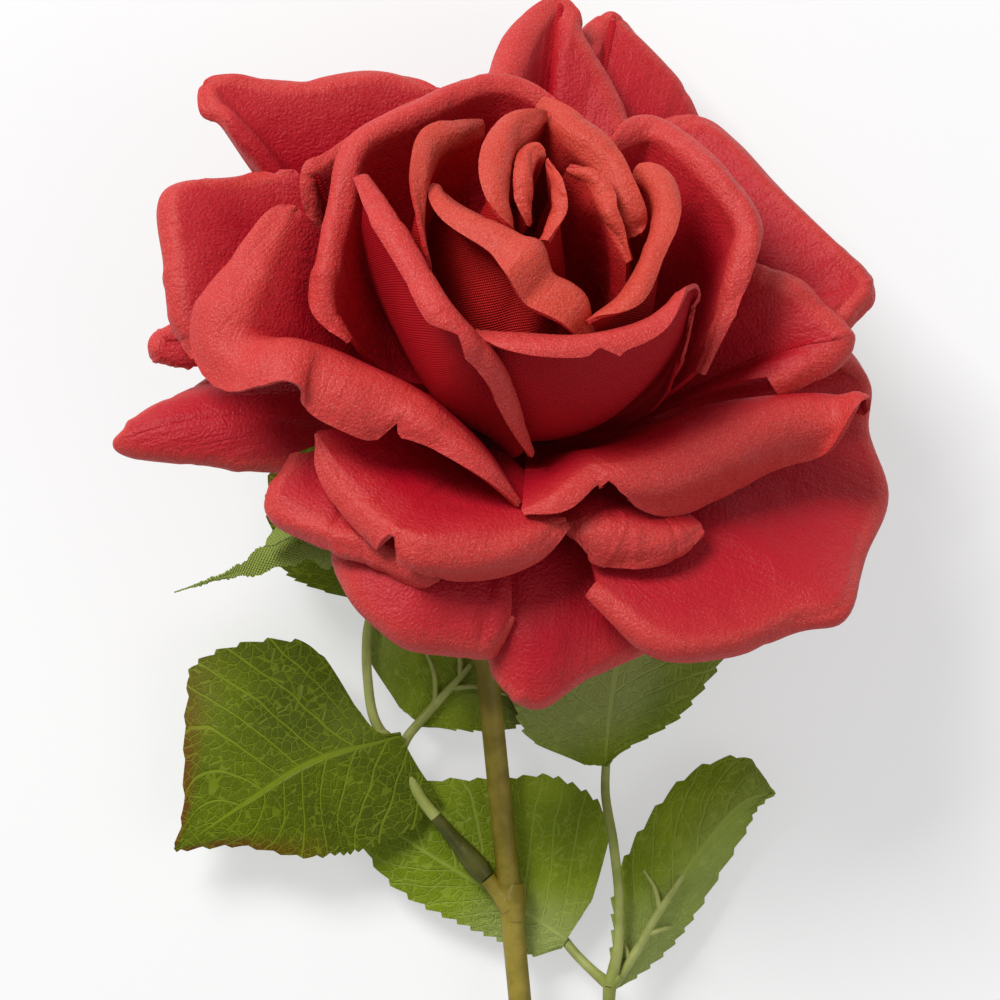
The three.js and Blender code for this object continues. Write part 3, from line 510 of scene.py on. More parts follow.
# foot: [azimuth of its middle, angle that it takes of the seat]; azimuth 0 is the side towards the stem.
# crest: [azimuth, radius, height over the seat's rim].
# bow: how many degrees the sheet leans outwards from its chord at the foot, and inwards at the crest.
# lip: width of the rolled lip along the crest. roll: its radius. curl: the angle that it turns at most.
# inset: how far the roll begins below the crest, as a share of its radius.
# nicks: [place along the crest, half width, share of the lip that is cut away].
# folds: [place along the crest, half width, height in millimetres].
# inner: one of the paler petals in the middle.
PETALS = [
    entry(SPREAD, "outer_petal_top_left", OUTER, [240, 30], bow=[30, -12], crest=[[217, 43, 36],
        [229, 50, 37], [242, 57, 35], [250, 68, 34], [256, 63, 32], [252, 51, 18]],
        lip=[0, 7, 7, 3, 3, 4, 0]),
    entry(SPREAD, "outer_petal_left", OUTER, [273, 30], bow=[20, -15], crest=[[254, 48, 28],
        [260, 55, 27], [268, 65, 27], [278, 62, 22], [286, 60, 17], [291, 57, 12]],
        lip=[0, 5, 8, 8, 8, 2]),
    entry(SPREAD, "outer_petal_left_small", GUARD, [272, 20], bow=[0, -15], roll=2, curl=200,
        crest=[[279, 57, 10], [282, 62, 8], [285, 62, 5], [285, 56, 3]], lip=[4, 6, 6, 4]),
    entry(SPREAD, "outer_petal_left_long", GUARD, [301, 22], bow=[1, -22], curl=170, crest=[[278, 50, 0],
        [283, 55, -2], [288, 63, -4], [292, 68, -6], [295, 65, -7], [299, 54, -6], [305, 41, -4]],
        lip=[4, 8, 7, 4, 7, 8, 4]),
    entry(SPREAD, "outer_petal_lower_left", GUARD, [328, 30], bow=[-12, -15], curl=110,
        crest=[[308, 42, 3], [316, 50, 1], [327, 48, 2], [338, 46, 3], [350, 45, 3], [355, 44, 3]],
        lip=[3, 6, 6, 6, 6, 3]),
    entry(SPREAD, "outer_petal_front", OUTER, [354, 26], bow=[4, -20], roll=4, curl=110, inset=0.5,
        crest=[[314, 42, 12], [322, 43, 10], [335, 44, 9], [348, 46, 10], [359, 43, 11], [12, 39, 12],
        [23, 35, 11]], lip=[0, 4, 6, 7, 11, 9, 2], nicks=[(0.44, 0.03, 0.9)]),
    entry(SPREAD, "outer_petal_bottom_left", BASE, [346, 30], bow=[-12, -35], roll=4,
        crest=[[330, 44, -4], [333, 46, -6], [341, 49, -7], [352, 51, -8], [1, 49, -9], [10, 47, -9],
        [13, 42, -5]], lip=[3, 8, 9, 9, 8, 5, 1]),
    entry(SPREAD, "outer_petal_bottom", BASE, [22, 30], bow=[-18, -35], crest=[[8, 38, -13],
        [10, 45, -15], [16, 50, -16.5], [22, 51, -17], [31, 48, -14], [44, 48, -10]],
        lip=[3, 6, 6, 5, 6, 3]),
    entry(SPREAD, "outer_petal_lower_right", GUARD, [72, 54], bow=[-12, -8], curl=130, crest=[[29, 42, 2],
        [39, 54, 0], [51, 59, 0], [62, 62, 1], [69, 67, 2], [82, 64, 2], [94, 65, 3], [104, 61, 6],
        [111, 62, 9], [113, 58, 12], [109, 48, 14]], lip=[3, 6, 7, 6, 5, 6, 7, 6, 5, 5, 3]),
    entry(SPREAD, "outer_petal_lower_right_small", OUTER, [36, 34], bow=[5, -15], roll=4, curl=85,
        inset=0, crest=[[24, 33, 9], [30, 34, 11], [39, 36, 11], [49, 39, 10], [59, 41, 8]],
        lip=[2, 8, 9, 7, 2]),
    entry(SPREAD, "outer_petal_right_long", MIDDLE, [52, 60], bow=[[8, 20, 20], -20],
        roll=[3, 3, 3, 4, 5, 5, 5, 4, 3], curl=105, inset=0, crest=[[10, 35, 13], [18, 33, 16],
        [30, 29, 18], [39, 30, 19], [55, 31, 19], [72, 35, 21], [86, 41, 22], [93, 51, 22], [93, 57, 20]],
        lip=[1, 4, 4, 8, 14, 15, 14, 11, 1], nicks=[(0.34, 0.05, 0.45)]),
    entry(SPREAD, "outer_petal_right", MIDDLE, [105, 36], bow=[30, -10], curl=170, crest=[[91, 41, 22],
        [95, 46, 26], [100, 51, 30], [105, 46, 32], [109, 41, 34], [116, 35, 34]],
        lip=[4, 7, 6, 6, 6, 2]),
    entry(SPREAD, "outer_petal_top_right", OUTER, [137, 50], bow=[15, -15], crest=[[109, 51, 26],
        [113, 56, 28], [117, 58, 29], [124, 54, 31], [140, 50, 33], [153, 51, 34], [161, 51, 34],
        [167, 44, 33]], lip=[5, 5, 5, 6, 7, 7, 5, 5]),
    entry(SPREAD, "outer_petal_top_pointed_right", GUARD, [172, 30], bow=[10, -15], crest=[[163, 60, 26],
        [168, 62, 30], [175, 64, 33], [181, 67, 35], [183, 66, 35], [185, 60, 34], [186, 51, 30]],
        lip=[4, 7, 7, 3, 3, 6, 5]),
    entry(SPREAD, "outer_petal_top_pointed_left", OUTER, [197, 34], bow=[15, -10], crest=[[173, 43, 32],
        [181, 50, 36], [188, 56, 40], [191, 61, 41], [195, 55, 41], [200, 46, 40], [206, 40, 38]],
        lip=[4, 7, 5, 3, 5, 7, 4]),
    entry(SPREAD, "outer_petal_front_left", MIDDLE, [306, 34], bow=[[42, 38, 20, 5], -8],
        roll=[4, 5, 6, 7, 7, 7, 7, 6, 5, 4, 4, 4], inset=0,
        curl=[105, 100, 90, 85, 85, 85, 90, 95, 100, 105, 105, 105], crest=[[273, 43, 34],
        [276, 43.5, 33], [287, 46, 29], [294, 49, 26], [297, 50, 24], [299, 47, 23.5], [303, 40, 24],
        [311, 35, 24], [323, 30, 23], [338, 29, 22], [357, 30, 18], [9, 32, 12]],
        lip=[2, 5, 8, 11, 12, 12, 13, 14, 13, 8, 5, 2], nicks=[(0.77, 0.02, 0.3)]),
    entry(SPREAD, "guard_petal_right", BASE, [118, 30], bow=[-25, -30], crest=[[96, 42, -2],
        [104, 52, -4], [118, 57, -5], [130, 54, -4], [138, 44, -2]], lip=[3, 6, 6, 6, 3]),
    entry(SPREAD, "guard_petal_top_right", BASE, [164, 34], bow=[-15, -25], crest=[[143, 42, 4],
        [150, 52, 3], [163, 57, 2], [174, 54, 3], [181, 44, 4]], lip=[3, 6, 6, 6, 3]),
    entry(SPREAD, "guard_petal_top_left", BASE, [212, 34], bow=[-15, -25], crest=[[192, 45, 3],
        [200, 56, 1.4], [212, 62, 0.3], [224, 57, 1.4], [231, 46, 4]], lip=[3, 6, 6, 6, 3]),
    entry(SPREAD, "guard_petal_left", BASE, [256, 34], bow=[-8, -25], crest=[[236, 42, 4], [244, 51, 1],
        [256, 55, -1], [266, 52, -3], [272, 42, -3]], lip=[3, 6, 6, 6, 3]),
    entry(UPRIGHT, "cup_petal_back_left", MIDDLE, [248, 44], bow=[36, 16], inset=0.8,
        crest=[[209, 35, 42], [225, 36, 42], [247, 36, 42], [263, 41, 40], [267, 43, 39], [270, 40, 34],
        [271, 35, 26]], lip=[2, 3, 4, 3, 3, 4, 2]),
    entry(UPRIGHT, "cup_petal_left", WRAP, [238, 60], bow=[30, 22], roll=2, curl=170, inset=0.5,
        crest=[[193, 28, 45], [214, 32, 46], [241, 32, 45], [259, 36, 43], [274, 35, 38], [287, 36, 34],
        [295, 37, 29], [302, 34, 24]], lip=[2, 5, 5, 5, 5, 5, 5, 2]),
    entry(UPRIGHT, "cup_petal_right", WRAP, [125, 60], bow=[25, 20], curl=170, crest=[[80, 28, 26],
        [95, 28, 34], [107, 29, 40], [118, 30, 43], [137, 28, 45], [155, 29, 44], [163, 29, 43],
        [172, 22, 43]], lip=[2, 4, 5, 6, 6, 6, 5, 2]),
    entry(UPRIGHT, "cup_petal_front_left", CUP, [318, 60], bow=[38, 32],
        roll=[2.5, 2.5, 2.5, 2.5, 2.5, 2], curl=160, crest=[[274, 33, 44], [291, 28, 44], [316, 27, 43],
        [334, 28, 41], [351, 24, 30], [10, 23, 16]], lip=[5, 7, 7, 8, 8, 3], nicks=[(0.6, 0.05, 0.3)]),
    entry(UPRIGHT, "cup_petal_front", CUP, [30, 60], bow=[40, 35], roll=3, crest=[[339, 22, 32],
        [351, 23, 37.5], [20, 22, 39.5], [50, 22, 41], [78, 23, 42.5], [77, 25, 34], [74, 25, 22]],
        lip=[0, 7, 8, 7, 2, 0, 0], nicks=[(0.4, 0.012, -0.12), (0.36, 0.025, 0.16)]),
    entry(WOUND, "inner_petal_left", INNER_RING, [242, 60], bow=[[35, 35, 42], 30], roll=3, curl=130,
        crest=[[225, 25, 43], [244, 23, 46], [258, 24, 47], [282, 24, 47], [301, 25, 44], [310, 24, 37]],
        lip=[3, 5, 6, 5, 2, 0]),
    entry(WOUND, "inner_petal_front", INNER_RING, [325, 60], bow=[[22, 35, 35], 30], roll=3.5,
        crest=[[269, 21, 42], [284, 18, 44.5], [320, 12, 46], [357, 12, 44], [28, 15, 36]],
        lip=[3, 8, 11, 14, 9], folds=[(0.62, 0.05, -1.1), (0.74, 0.05, 1.3), (0.86, 0.04, -0.7)]),
    entry(WOUND, "inner_petal_right", INNER_RING, [83, 50], bow=[40, 35], roll=2.5, curl=150,
        crest=[[24, 19, 40.5], [43, 17, 43], [78, 14, 44.5], [111, 15, 45.5], [136, 17, 46],
        [151, 18, 45]], lip=[3, 6, 6, 6, 6, 3]),
    entry(WOUND, "inner_petal_back", INNER_RING, [168, 50], roll=3, curl=120, crest=[[108, 11, 43],
        [123, 9, 46], [169, 11, 48], [197, 16, 49], [205, 24, 48]], lip=[3, 6, 7, 7, 3]),
    entry(WOUND, "bud_petal_left", BUD, [240, 70], bow=[30, 25], roll=3, curl=130, crest=[[204, 20, 50],
        [223, 15, 50], [253, 12, 50], [287, 11, 49], [305, 11, 45]], lip=[2, 7, 8, 7, 2]),
    entry(WOUND, "bud_petal_right", BUD, [110, 70], bow=[30, 25], roll=2, curl=120, crest=[[75, 12, 44],
        [88, 7, 47], [123, 5, 49], [167, 6, 50], [196, 8, 50]], lip=[1, 3, 4, 3, 1]),
    entry(WOUND, "heart_petal_left", HEART, [280, 90], bow=[20, 20], roll=1.5, curl=170,
        crest=[[220, 10, 51], [231, 10, 51], [255, 8, 51], [279, 7, 49], [299, 7, 46]],
        lip=[2, 4, 4, 4, 2]),
    entry(WOUND, "heart_petal_right", HEART, [100, 90], bow=[-20, -10], roll=2, curl=150,
        crest=[[337, 8, 46], [301, 3, 48], [241, 4, 50], [219, 9, 51]], lip=[3, 4, 3, 1]),
]


BOW_REACH = 0.38
PETAL_COLUMNS, BODY_ROWS, LIP_ROWS = 84, 32, 20
WAVE_HEIGHT = 0.3
CREASE_HEIGHT, INNER_CREASE_HEIGHT = 0.32, 0.12
FIRST_WAVE_SEED, FIRST_CREASE_SEED = 100, 150


def body_ends(petal, foot, top, s):
    """Directions in which the body leaves its foot and reaches its top, and how far they hold."""
    chord = top - foot
    plan = np.linalg.norm(chord[..., :2], axis=-1)
    lean = np.arctan2(plan, chord[..., 2])
    flat = chord[..., :2] / (plan[..., None] + 1e-9)

    def way(angle):
        return np.concatenate([np.sin(angle)[..., None] * flat, np.cos(angle)[..., None]], -1)

    first, last = petal["bow"]
    reach = np.linalg.norm(chord, axis=-1, keepdims=True) * BOW_REACH
    return way(lean + np.radians(along(first, s))), way(lean - math.radians(last)), reach


def square_to(tangent, way):
    """The unit direction nearest to a way that is square to the tangent."""
    return unit(way - np.sum(way * tangent, -1, keepdims=True) * tangent)


def petal_points(petal, s, t):
    """The petal's middle surface in the flower's frame: s 0 to 1 along the crest,
    t 0 to 1 from foot to crest and 1 to 2 over the lip."""
    crest = np.array([polar(*point) for point in petal["crest"]])
    top, tangent = spline(crest, s), way_along(crest, s)
    seat = petal["seat"]
    azimuth, spread = petal["foot"]
    height = SEAT_RISE * (1 - seat / SEAT_RADIUS) + CLEARANCE + PETAL_THICKNESS / 2
    foot = polar(azimuth + (s - 0.5) * spread, seat, height)
    radius, width = along(petal["roll"], s), np.maximum(along(petal["lip"], s), 0)
    for place, size, share in petal.get("nicks", []):
        width = width * (1 - share * np.clip(1 - np.abs(s - place) / size, 0, 1))
    curl = np.radians(along(petal["curl"], s))

    over = square_to(tangent, body_ends(petal, foot, top, s)[1])
    turned = np.minimum(np.minimum(width / radius, curl), math.pi / 2)
    top = top - (petal["inset"] * radius * np.sin(turned))[..., None] * over
    start, end, reach = body_ends(petal, foot, top, s)
    w = np.clip(t, 0, 1)[..., None]
    body = (1 - w) ** 3 * foot + 3 * (1 - w) ** 2 * w * (foot + start * reach)
    body = body + 3 * (1 - w) * w**2 * (top - end * reach) + w**3 * top

    over = square_to(tangent, end)
    out = unit(np.cross(tangent, over))
    length = np.clip(t - 1, 0, 1) * width
    angle = np.minimum(length / radius, curl)
    rest = length - angle * radius
    lip = (radius * np.sin(angle) + rest * np.cos(angle))[..., None] * over
    lip = lip + (radius * (1 - np.cos(angle)) + rest * np.sin(angle))[..., None] * out
    return body + lip


def waves(s, t, seed, count=6):
    """A gentle seeded unevenness from about -1 to 1 over the sheet, as a sum of sine waves."""
    own = np.random.default_rng(seed)
    total = np.zeros_like(s)
    for _ in range(count):
        across, outwards = own.uniform(0.5, 3.2), own.uniform(0.3, 2.2)
        total += np.sin(2 * math.pi * (across * s + outwards * t + own.uniform())) * own.uniform(0.4, 1)
    return total / 4


def creases(s, t, seed, count=9):
    """Fine seeded creases that run out over the rim, from about -1 to 1."""
    own = np.random.default_rng(seed)
    total = np.zeros_like(s)
    for _ in range(count):
        place = own.uniform(0.04, 0.96) + own.uniform(-0.12, 0.12) * (t - 1)
        size, start = own.uniform(0.008, 0.03), own.uniform(0.5, 1.1)
        total += own.uniform(-1, 1) * np.exp(-(((s - place) / size) ** 2)) * smooth(t, start, start + 0.4)
    return total


def lengths_along(grid, axis):
    """How far each point of a grid lies along its row or column, in millimetres."""
    steps = np.diff(grid, axis=axis, prepend=np.take(grid, [0], axis))
    return np.cumsum(np.linalg.norm(steps, axis=-1), axis=axis)


def petal_object(petal, index):
    body, lip = np.linspace(0, 1, BODY_ROWS), np.linspace(1, 2, LIP_ROWS + 1)
    s, t = np.meshgrid(np.linspace(0, 1, PETAL_COLUMNS), np.concatenate([body, lip[1:]]))
    inner = petal["inner"]
    grid = petal_points(petal, s, t)
    normal = normals_of(grid)
    wave = waves(s, t, FIRST_WAVE_SEED + index) * WAVE_HEIGHT * smooth(t, 0.35, 1.0)
    grid = grid + normal * wave[..., None]
    crease_height = INNER_CREASE_HEIGHT if inner else CREASE_HEIGHT
    grid = grid + normal * (crease_height * creases(s, t, FIRST_CREASE_SEED + index))[..., None]
    for place, size, height in petal.get("folds", []):
        fold = np.exp(-(((s - place) / size) ** 2)) * smooth(t, 0.3, 1.1) * height
        grid = grid + normal * fold[..., None]
    across = lengths_along(grid, axis=1)
    across = across - across[:, PETAL_COLUMNS // 2][:, None]
    uvs = np.stack([across, lengths_along(grid, axis=0)], -1)
    faces = (CORAL_OUTSIDE, CORAL_INSIDE, RED_EDGE) if inner else (RED_OUTSIDE, RED_INSIDE, RED_EDGE)
    # The rim share drives the painted highlight on the lips and the painted shade lower on the petal.
    layers = {"rim": smooth(t, 0.8, 1.3)}
    name, points = petal["name"] + "_fine", from_head(grid)
    obj = sheet_object(name, points, PETAL_THICKNESS, uvs, faces, layers, sharp=60)
    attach(obj, "root")
    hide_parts(petal["name"])


for index, petal in enumerate(PETALS):
    petal_object(petal, index)

# Leaves

# rib: path of the midrib. left and right: half widths in millimetres at even steps from base to tip,
# as the camera sees them looking from base to tip. fall: how many degrees each half leans down from
# the midrib. cup: how far its middle sinks below that. ears: how far each half reaches back at the base.
# top: the upper face looks at the camera. over: the rib of the spray runs on the camera's side.
LEAVES = [
    dict(
        name="leaf_left_front", top=True, over=False, fall=(6, 5), cup=1.2, ears=(3, 0),
        rib=[[-17.3, -40.9, -28.3], [-32.5, -45.6, -25.6], [-43, -52, -26], [-56.8, -61.2, -29]],
        left=[12.8, 16.6, 17.3, 17.4, 17.1, 16, 14.4, 10.6, 6, 2.8, 0],
        right=[0.4, 3, 17.8, 22.1, 24.2, 25.2, 24.3, 19.5, 12.5, 5, 0],
    ),
    dict(
        name="leaf_left_stem", top=False, over=True, fall=(4, 4), cup=-0.8,
        rib=[[-14.3, -39.2, -32], [-8.2, -32.4, -32.3], [-2.1, -26.7, -32.4], [15.7, -17.5, -32]],
        left=[4.6, 13.8, 16.5, 18, 18.5, 18, 16, 13, 9, 4.5, 0],
        right=[1, 4.8, 8.3, 11, 13.2, 14.5, 14, 12, 8.5, 4.5, 0],
    ),
    dict(
        name="leaf_left_top", top=True, over=False, fall=(5, 5), cup=0.6,
        rib=[[-22, -17.5, -28.8], [-24, -8, -28], [-30, 7, -27.6], [-35, 19.2, -27.5]],
        left=[1, 8, 12, 14, 14.5, 14.2, 13, 10.5, 7, 3.5, 0],
        right=[1, 8, 12, 14, 14.5, 14.2, 13, 10.5, 7, 3.5, 0],
    ),
    dict(
        name="leaf_right_stem", top=False, over=False, fall=(8, 2), cup=-0.8,
        rib=[[11.7, -77.2, -32.7], [2, -71.1, -32.9], [-10, -63.8, -32.9], [-27.6, -52.6, -32.6]],
        left=[2, 5.6, 6, 6.5, 7.1, 7.5, 8, 8.3, 7.5, 4.5, 0],
        right=[9, 19.5, 22.7, 23.7, 23.6, 22.7, 19.8, 16.3, 12.4, 7, 0],
    ),
    dict(
        name="leaf_right_top", top=False, over=False, fall=(4, 4), cup=0.8,
        rib=[[18.5, -46.5, -27.8], [19.5, -36, -27.6], [22, -20, -27.6], [24.5, -6.1, -28]],
        left=[4, 12.5, 15.5, 17, 17.5, 17, 15.5, 12.5, 8.5, 4.2, 0],
        right=[0.5, 3, 7.2, 11.3, 14, 16.6, 18.6, 18, 13, 6.5, 0],
    ),
    dict(
        name="leaf_right_side", top=False, over=True, fall=(12, 40), cup=-0.4,
        rib=[
            [18.9, -86.2, -29.6], [24.5, -77.8, -29.4], [30.1, -68.2, -29.2], [41.1, -54.2, -29.2],
            [48.1, -51.1, -30],
        ],
        left=[0.5, 2.5, 4.6, 6.8, 8.8, 10, 10.8, 10.6, 8.8, 6.2, 0],
        right=[0.6, 2.9, 4.8, 6.5, 7.5, 7.7, 6.9, 5.7, 3.8, 1.8, 0],
    ),
]
LEAF_THICKNESS = 0.45
LEAF_TEETH = 15
LEAF_COLUMNS, ROWS_PER_TOOTH = 61, 10
# A tooth's height, how far its notch cuts in, the share of it that rises, and the shift of the left half's.
TOOTH_HEIGHT, TOOTH_ROOM, TOOTH_RISE, TOOTH_SHIFT = 0.75, 0.35, 0.8, 0.3
VEIN_RIDGE, LEAF_RIPPLE = 0.22, 0.5


def leaf_grid(leaf, s, t):
    """The leaf's middle surface in the picture's frame, s -1 to 1 from its left rim to its right one and
    t 0 to 1 from base to tip, with the distance of each point from the midrib."""
    rib = np.array(leaf["rib"], float)
    middle, way = spline(rib, t), way_along(rib, t)
    side = unit(np.cross([0.0, 0.0, 1.0], way))
    left, right = np.maximum(along(leaf["left"], t), 0), np.maximum(along(leaf["right"], t), 0)
    half = np.where(s < 0, left, right)
    fall = np.radians(np.where(s < 0, leaf["fall"][0], leaf["fall"][1]))
    share = np.abs(s)
    saw = (t * LEAF_TEETH + np.where(s < 0, TOOTH_SHIFT, 0)) % 1.0
    saw = np.where(saw < TOOTH_RISE, saw / TOOTH_RISE, (1 - saw) / (1 - TOOTH_RISE))
    tooth = TOOTH_HEIGHT * saw * smooth(t, 0.03, 0.15)
    reach = share * np.maximum(half + tooth * share**8 - TOOTH_ROOM, 0.25)
    drop = reach * np.sin(fall) + leaf["cup"] * share**2 * np.sin(math.pi * t)
    ear = np.where(s < 0, *leaf.get("ears", (0, 0))) * share**1.5 * (1 - smooth(t, 0, 0.35))
    grid = middle - np.sign(s)[..., None] * side * (reach * np.cos(fall))[..., None] - way * ear[..., None]
    vein = np.abs(np.sin(math.pi * SIDE_VEINS * (t - VEIN_SLANT * share)))
    crease = VEIN_RIDGE * vein * share * (1 - share**6)
    ripple = LEAF_RIPPLE * np.sin(2 * math.pi * (2.3 * t + 0.2 * s)) * share**2
    grid[..., 2] += crease + ripple - drop
    return grid, reach


def leaf_object(leaf):
    rows = LEAF_TEETH * ROWS_PER_TOOTH + 1
    s, t = np.meshgrid(np.linspace(-1, 1, LEAF_COLUMNS), np.linspace(0, 1, rows))
    grid, reach = leaf_grid(leaf, s, t)
    rib = spline(np.array(leaf["rib"], float), np.linspace(0, 1, 50))
    length = np.linalg.norm(np.diff(rib, axis=0), axis=-1).sum()
    uvs = np.stack([np.sign(s) * reach, t * length], -1)
    face, back = (LEAF_TOP, LEAF_UNDER) if leaf["top"] else (LEAF_UNDER, LEAF_TOP)
    obj = sheet_object(
        leaf["name"] + "_fine", grid[:, ::-1], LEAF_THICKNESS, uvs[:, ::-1], (back, face, LEAF_EDGE),
        {"side": np.abs(s)[:, ::-1], "run": t[:, ::-1]}, sharp=60,
    )
    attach(obj, "root")
    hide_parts(leaf["name"])


for leaf in LEAVES:
    leaf_object(leaf)

# Sprays

# at: where the spray leaves the stem. angle: its direction, counted from the picture's right.
# knot: where its petiole parts into three.
JOINTS = {
    "left": dict(at=np.array([2, -71.2, -29.4]), angle=130, knot=np.array([-17.8, -44.3, -30.4])),
    "right": dict(at=np.array([6, -118, -31.9]), angle=60, knot=np.array([19.2, -84.8, -27.8])),
}
# Points that each thin petiole passes on its way from the knot to its leaf.
PETIOLES = {
    "leaf_left_front": [[-19.4, -43.2, -29.2]],
    "leaf_left_stem": [[-16, -41.2, -30.5]],
    "leaf_left_top": [[-21.5, -39.5, -30], [-23.2, -31, -30], [-23.3, -24, -30]],
    "leaf_right_stem": [[16.6, -82.8, -30.6], [13.4, -79.8, -33]],
    "leaf_right_top": [[20.5, -78.7, -26.9], [20.8, -69.9, -26.6], [19.8, -60, -26.8], [18.4, -50.5, -28.9]],
    "leaf_right_side": [[20.6, -83.4, -27.8]],
}
# Distances from the stem at which the socket and the main petiole bend, and their radii along the way.
SOCKET_PATH = (6.8, 8.0, 12.0, 15.5, 20.6)
SOCKET_RADII = [1.6, 1.95, 1.95, 1.85, 1.6, 1.4, 1.24, 1.16, 1.12]
PETIOLE_PATH = (19.6, 23.6)
PETIOLE_RADII = [1.12, 1.02, 1.0, 1.05, 1.2]
RIB_PLACES = [0.05, 0.2, 0.38, 0.55]
RIB_RADII = [1.15, 0.9, 0.85, 0.85, 0.8, 0.72, 0.6, 0.45]
RIB_SEAT_RADIUS = 0.75
# Forks of a rib: place along the leaf, side (1 left, -1 right), and length at most.
FORKS = ((0.16, 1, 8.5), (0.3, -1, 8), (0.42, 1, 6))
FORK_RADII = [0.5, 0.45, 0.38, 0.25]


def joint_point(joint, length):
    angle = math.radians(joint["angle"])
    return joint["at"] + length * np.array([math.cos(angle), math.sin(angle), 0])


def rib_line(leaf, places, lift):
    """Points over or under the midrib, at places from 0 to 1."""
    points = spline(np.array(leaf["rib"], float), np.array(places))
    points[:, 2] += lift
    return points


def fork(leaf, place, turn, size, lift):
    """A short branch of the rib that bends away over one half of the leaf and follows its fall."""
    root = rib_line(leaf, [place], lift)[0]
    way = rib_line(leaf, [place + 0.02], lift)[0] - root
    way = way / np.linalg.norm(way)
    out = np.cross([0, 0, 1.0], way) * turn
    widths = leaf["left"] if turn > 0 else leaf["right"]
    width = np.interp(place + 0.1, np.linspace(0, 1, len(widths)), widths)
    size = min(size, 0.62 * width)
    fall = math.radians(leaf["fall"][0 if turn > 0 else 1])
    end = root + way * size * 0.75 + out * size * math.cos(fall) - np.array([0, 0, size * math.sin(fall)])
    bend = root + way * size * 0.45 + out * size * 0.42
    return tube([root, bend, end], FORK_RADII, sides=10, steps=20)


def spray_object(side):
    joint = JOINTS[side]
    socket = tube([joint_point(joint, x) for x in SOCKET_PATH], SOCKET_RADII, sides=28, steps=60)
    stalk = [joint_point(joint, x) for x in PETIOLE_PATH]
    parts = [socket, tube(stalk + [joint["knot"]], PETIOLE_RADII, sides=20, steps=40)]
    for leaf in (each for each in LEAVES if each["name"].startswith("leaf_" + side)):
        lift = (LEAF_THICKNESS / 2 + CLEARANCE + RIB_SEAT_RADIUS) * (1 if leaf["over"] else -1)
        ribs = rib_line(leaf, RIB_PLACES, lift)
        path = np.concatenate([[joint["knot"]], PETIOLES[leaf["name"]], ribs])
        parts.append(tube(path, RIB_RADII, sides=16, steps=90))
        parts += [fork(leaf, *each, lift) for each in FORKS]
    points, faces, uvs = merged(parts)
    slots = np.zeros(len(faces), int)
    slots[: len(socket[1])] = 1
    name, skins = "spray_" + side + "_fine", [PETIOLE_SKIN, SOCKET_SKIN]
    obj = new_object(name, points, faces, uvs, skins, slots, sharp=70)
    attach(obj, "root")
    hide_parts("spray_" + side)


spray_object("left")
spray_object("right")

# Stem

STEM_BENDS = [[-3.6, -13, -23.6], [-3, -22, -26.2], [-2, -32, -27.4], [3.5, -87.6, -30.2]]
STEM_END = np.array([14, -210, -37.7551])
STEM_RADIUS = 2.0
PEG_PATH = (0.0, 3.0, 6.5)
PEG_RADII = [2.3, 2.1, 1.8, 1.6, 1.5, 1.55]
COLLAR_PATH = np.array([[0.3, 4.0, 0.05], [0.3, 1.0, 0.05], [0.3, -2.5, 0.05]])
COLLAR_RADII = [1.9, 2.15, 2.35, 2.3, 2.1, 1.9]


def stem_object():
    """The bent stem, with a peg for each spray's socket and a collar that swells at its root."""
    ceiling = from_head(np.array([[0, 0, SOCKET_DEPTH - RECEPTACLE_DEPTH - CLEARANCE]]))[0]
    mouth = from_head(np.array([[0, 0, -RECEPTACLE_DEPTH - 2]]))[0]
    path = [ceiling, mouth, *STEM_BENDS, STEM_END]
    parts = [tube(path, [STEM_RADIUS], sides=32, steps=260)]
    for joint in JOINTS.values():
        peg = [joint_point(joint, x) for x in PEG_PATH]
        parts.append(tube(peg, PEG_RADII, sides=24, steps=24))
        parts.append(tube(joint["at"] + COLLAR_PATH, COLLAR_RADII, sides=24, steps=20))
    points, faces, uvs = merged(parts)
    obj = new_object("stem_fine", points, faces, uvs, [STEM_SKIN], sharp=70)
    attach(obj, "root")
    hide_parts("stem")


stem_object()

# Sepals

# The star's blades: [radius, height] of a point that the blade bends towards halfway, and of its tip.
SEPALS = [
    dict(halfway=(30, -6), tip=(44, -18)),
    dict(halfway=(24, -8), tip=(34, -17)),
    dict(halfway=(28, -8), tip=(40, -19)),
    dict(halfway=(27, -6), tip=(42, -6)),
    dict(halfway=(28, -7), tip=(45, -9)),
]
SEPAL_FIRST, SEPAL_SPREAD = 310, 72
SEPAL_WEB, SEPAL_WEB_RISE = 15, 1.5
SEPAL_WAIST, SEPAL_BEND = 12, 0.3
SEPAL_THICKNESS, TORN_THICKNESS = 0.5, 0.4
SEPAL_FACES = (SEPAL_CLOTH, SEPAL_CLOTH, SEPAL_CLOTH)
COLUMNS_PER_SEPAL, SEPAL_ROWS = 60, 46
FRAY, RUFFLE = 0.035, 0.7


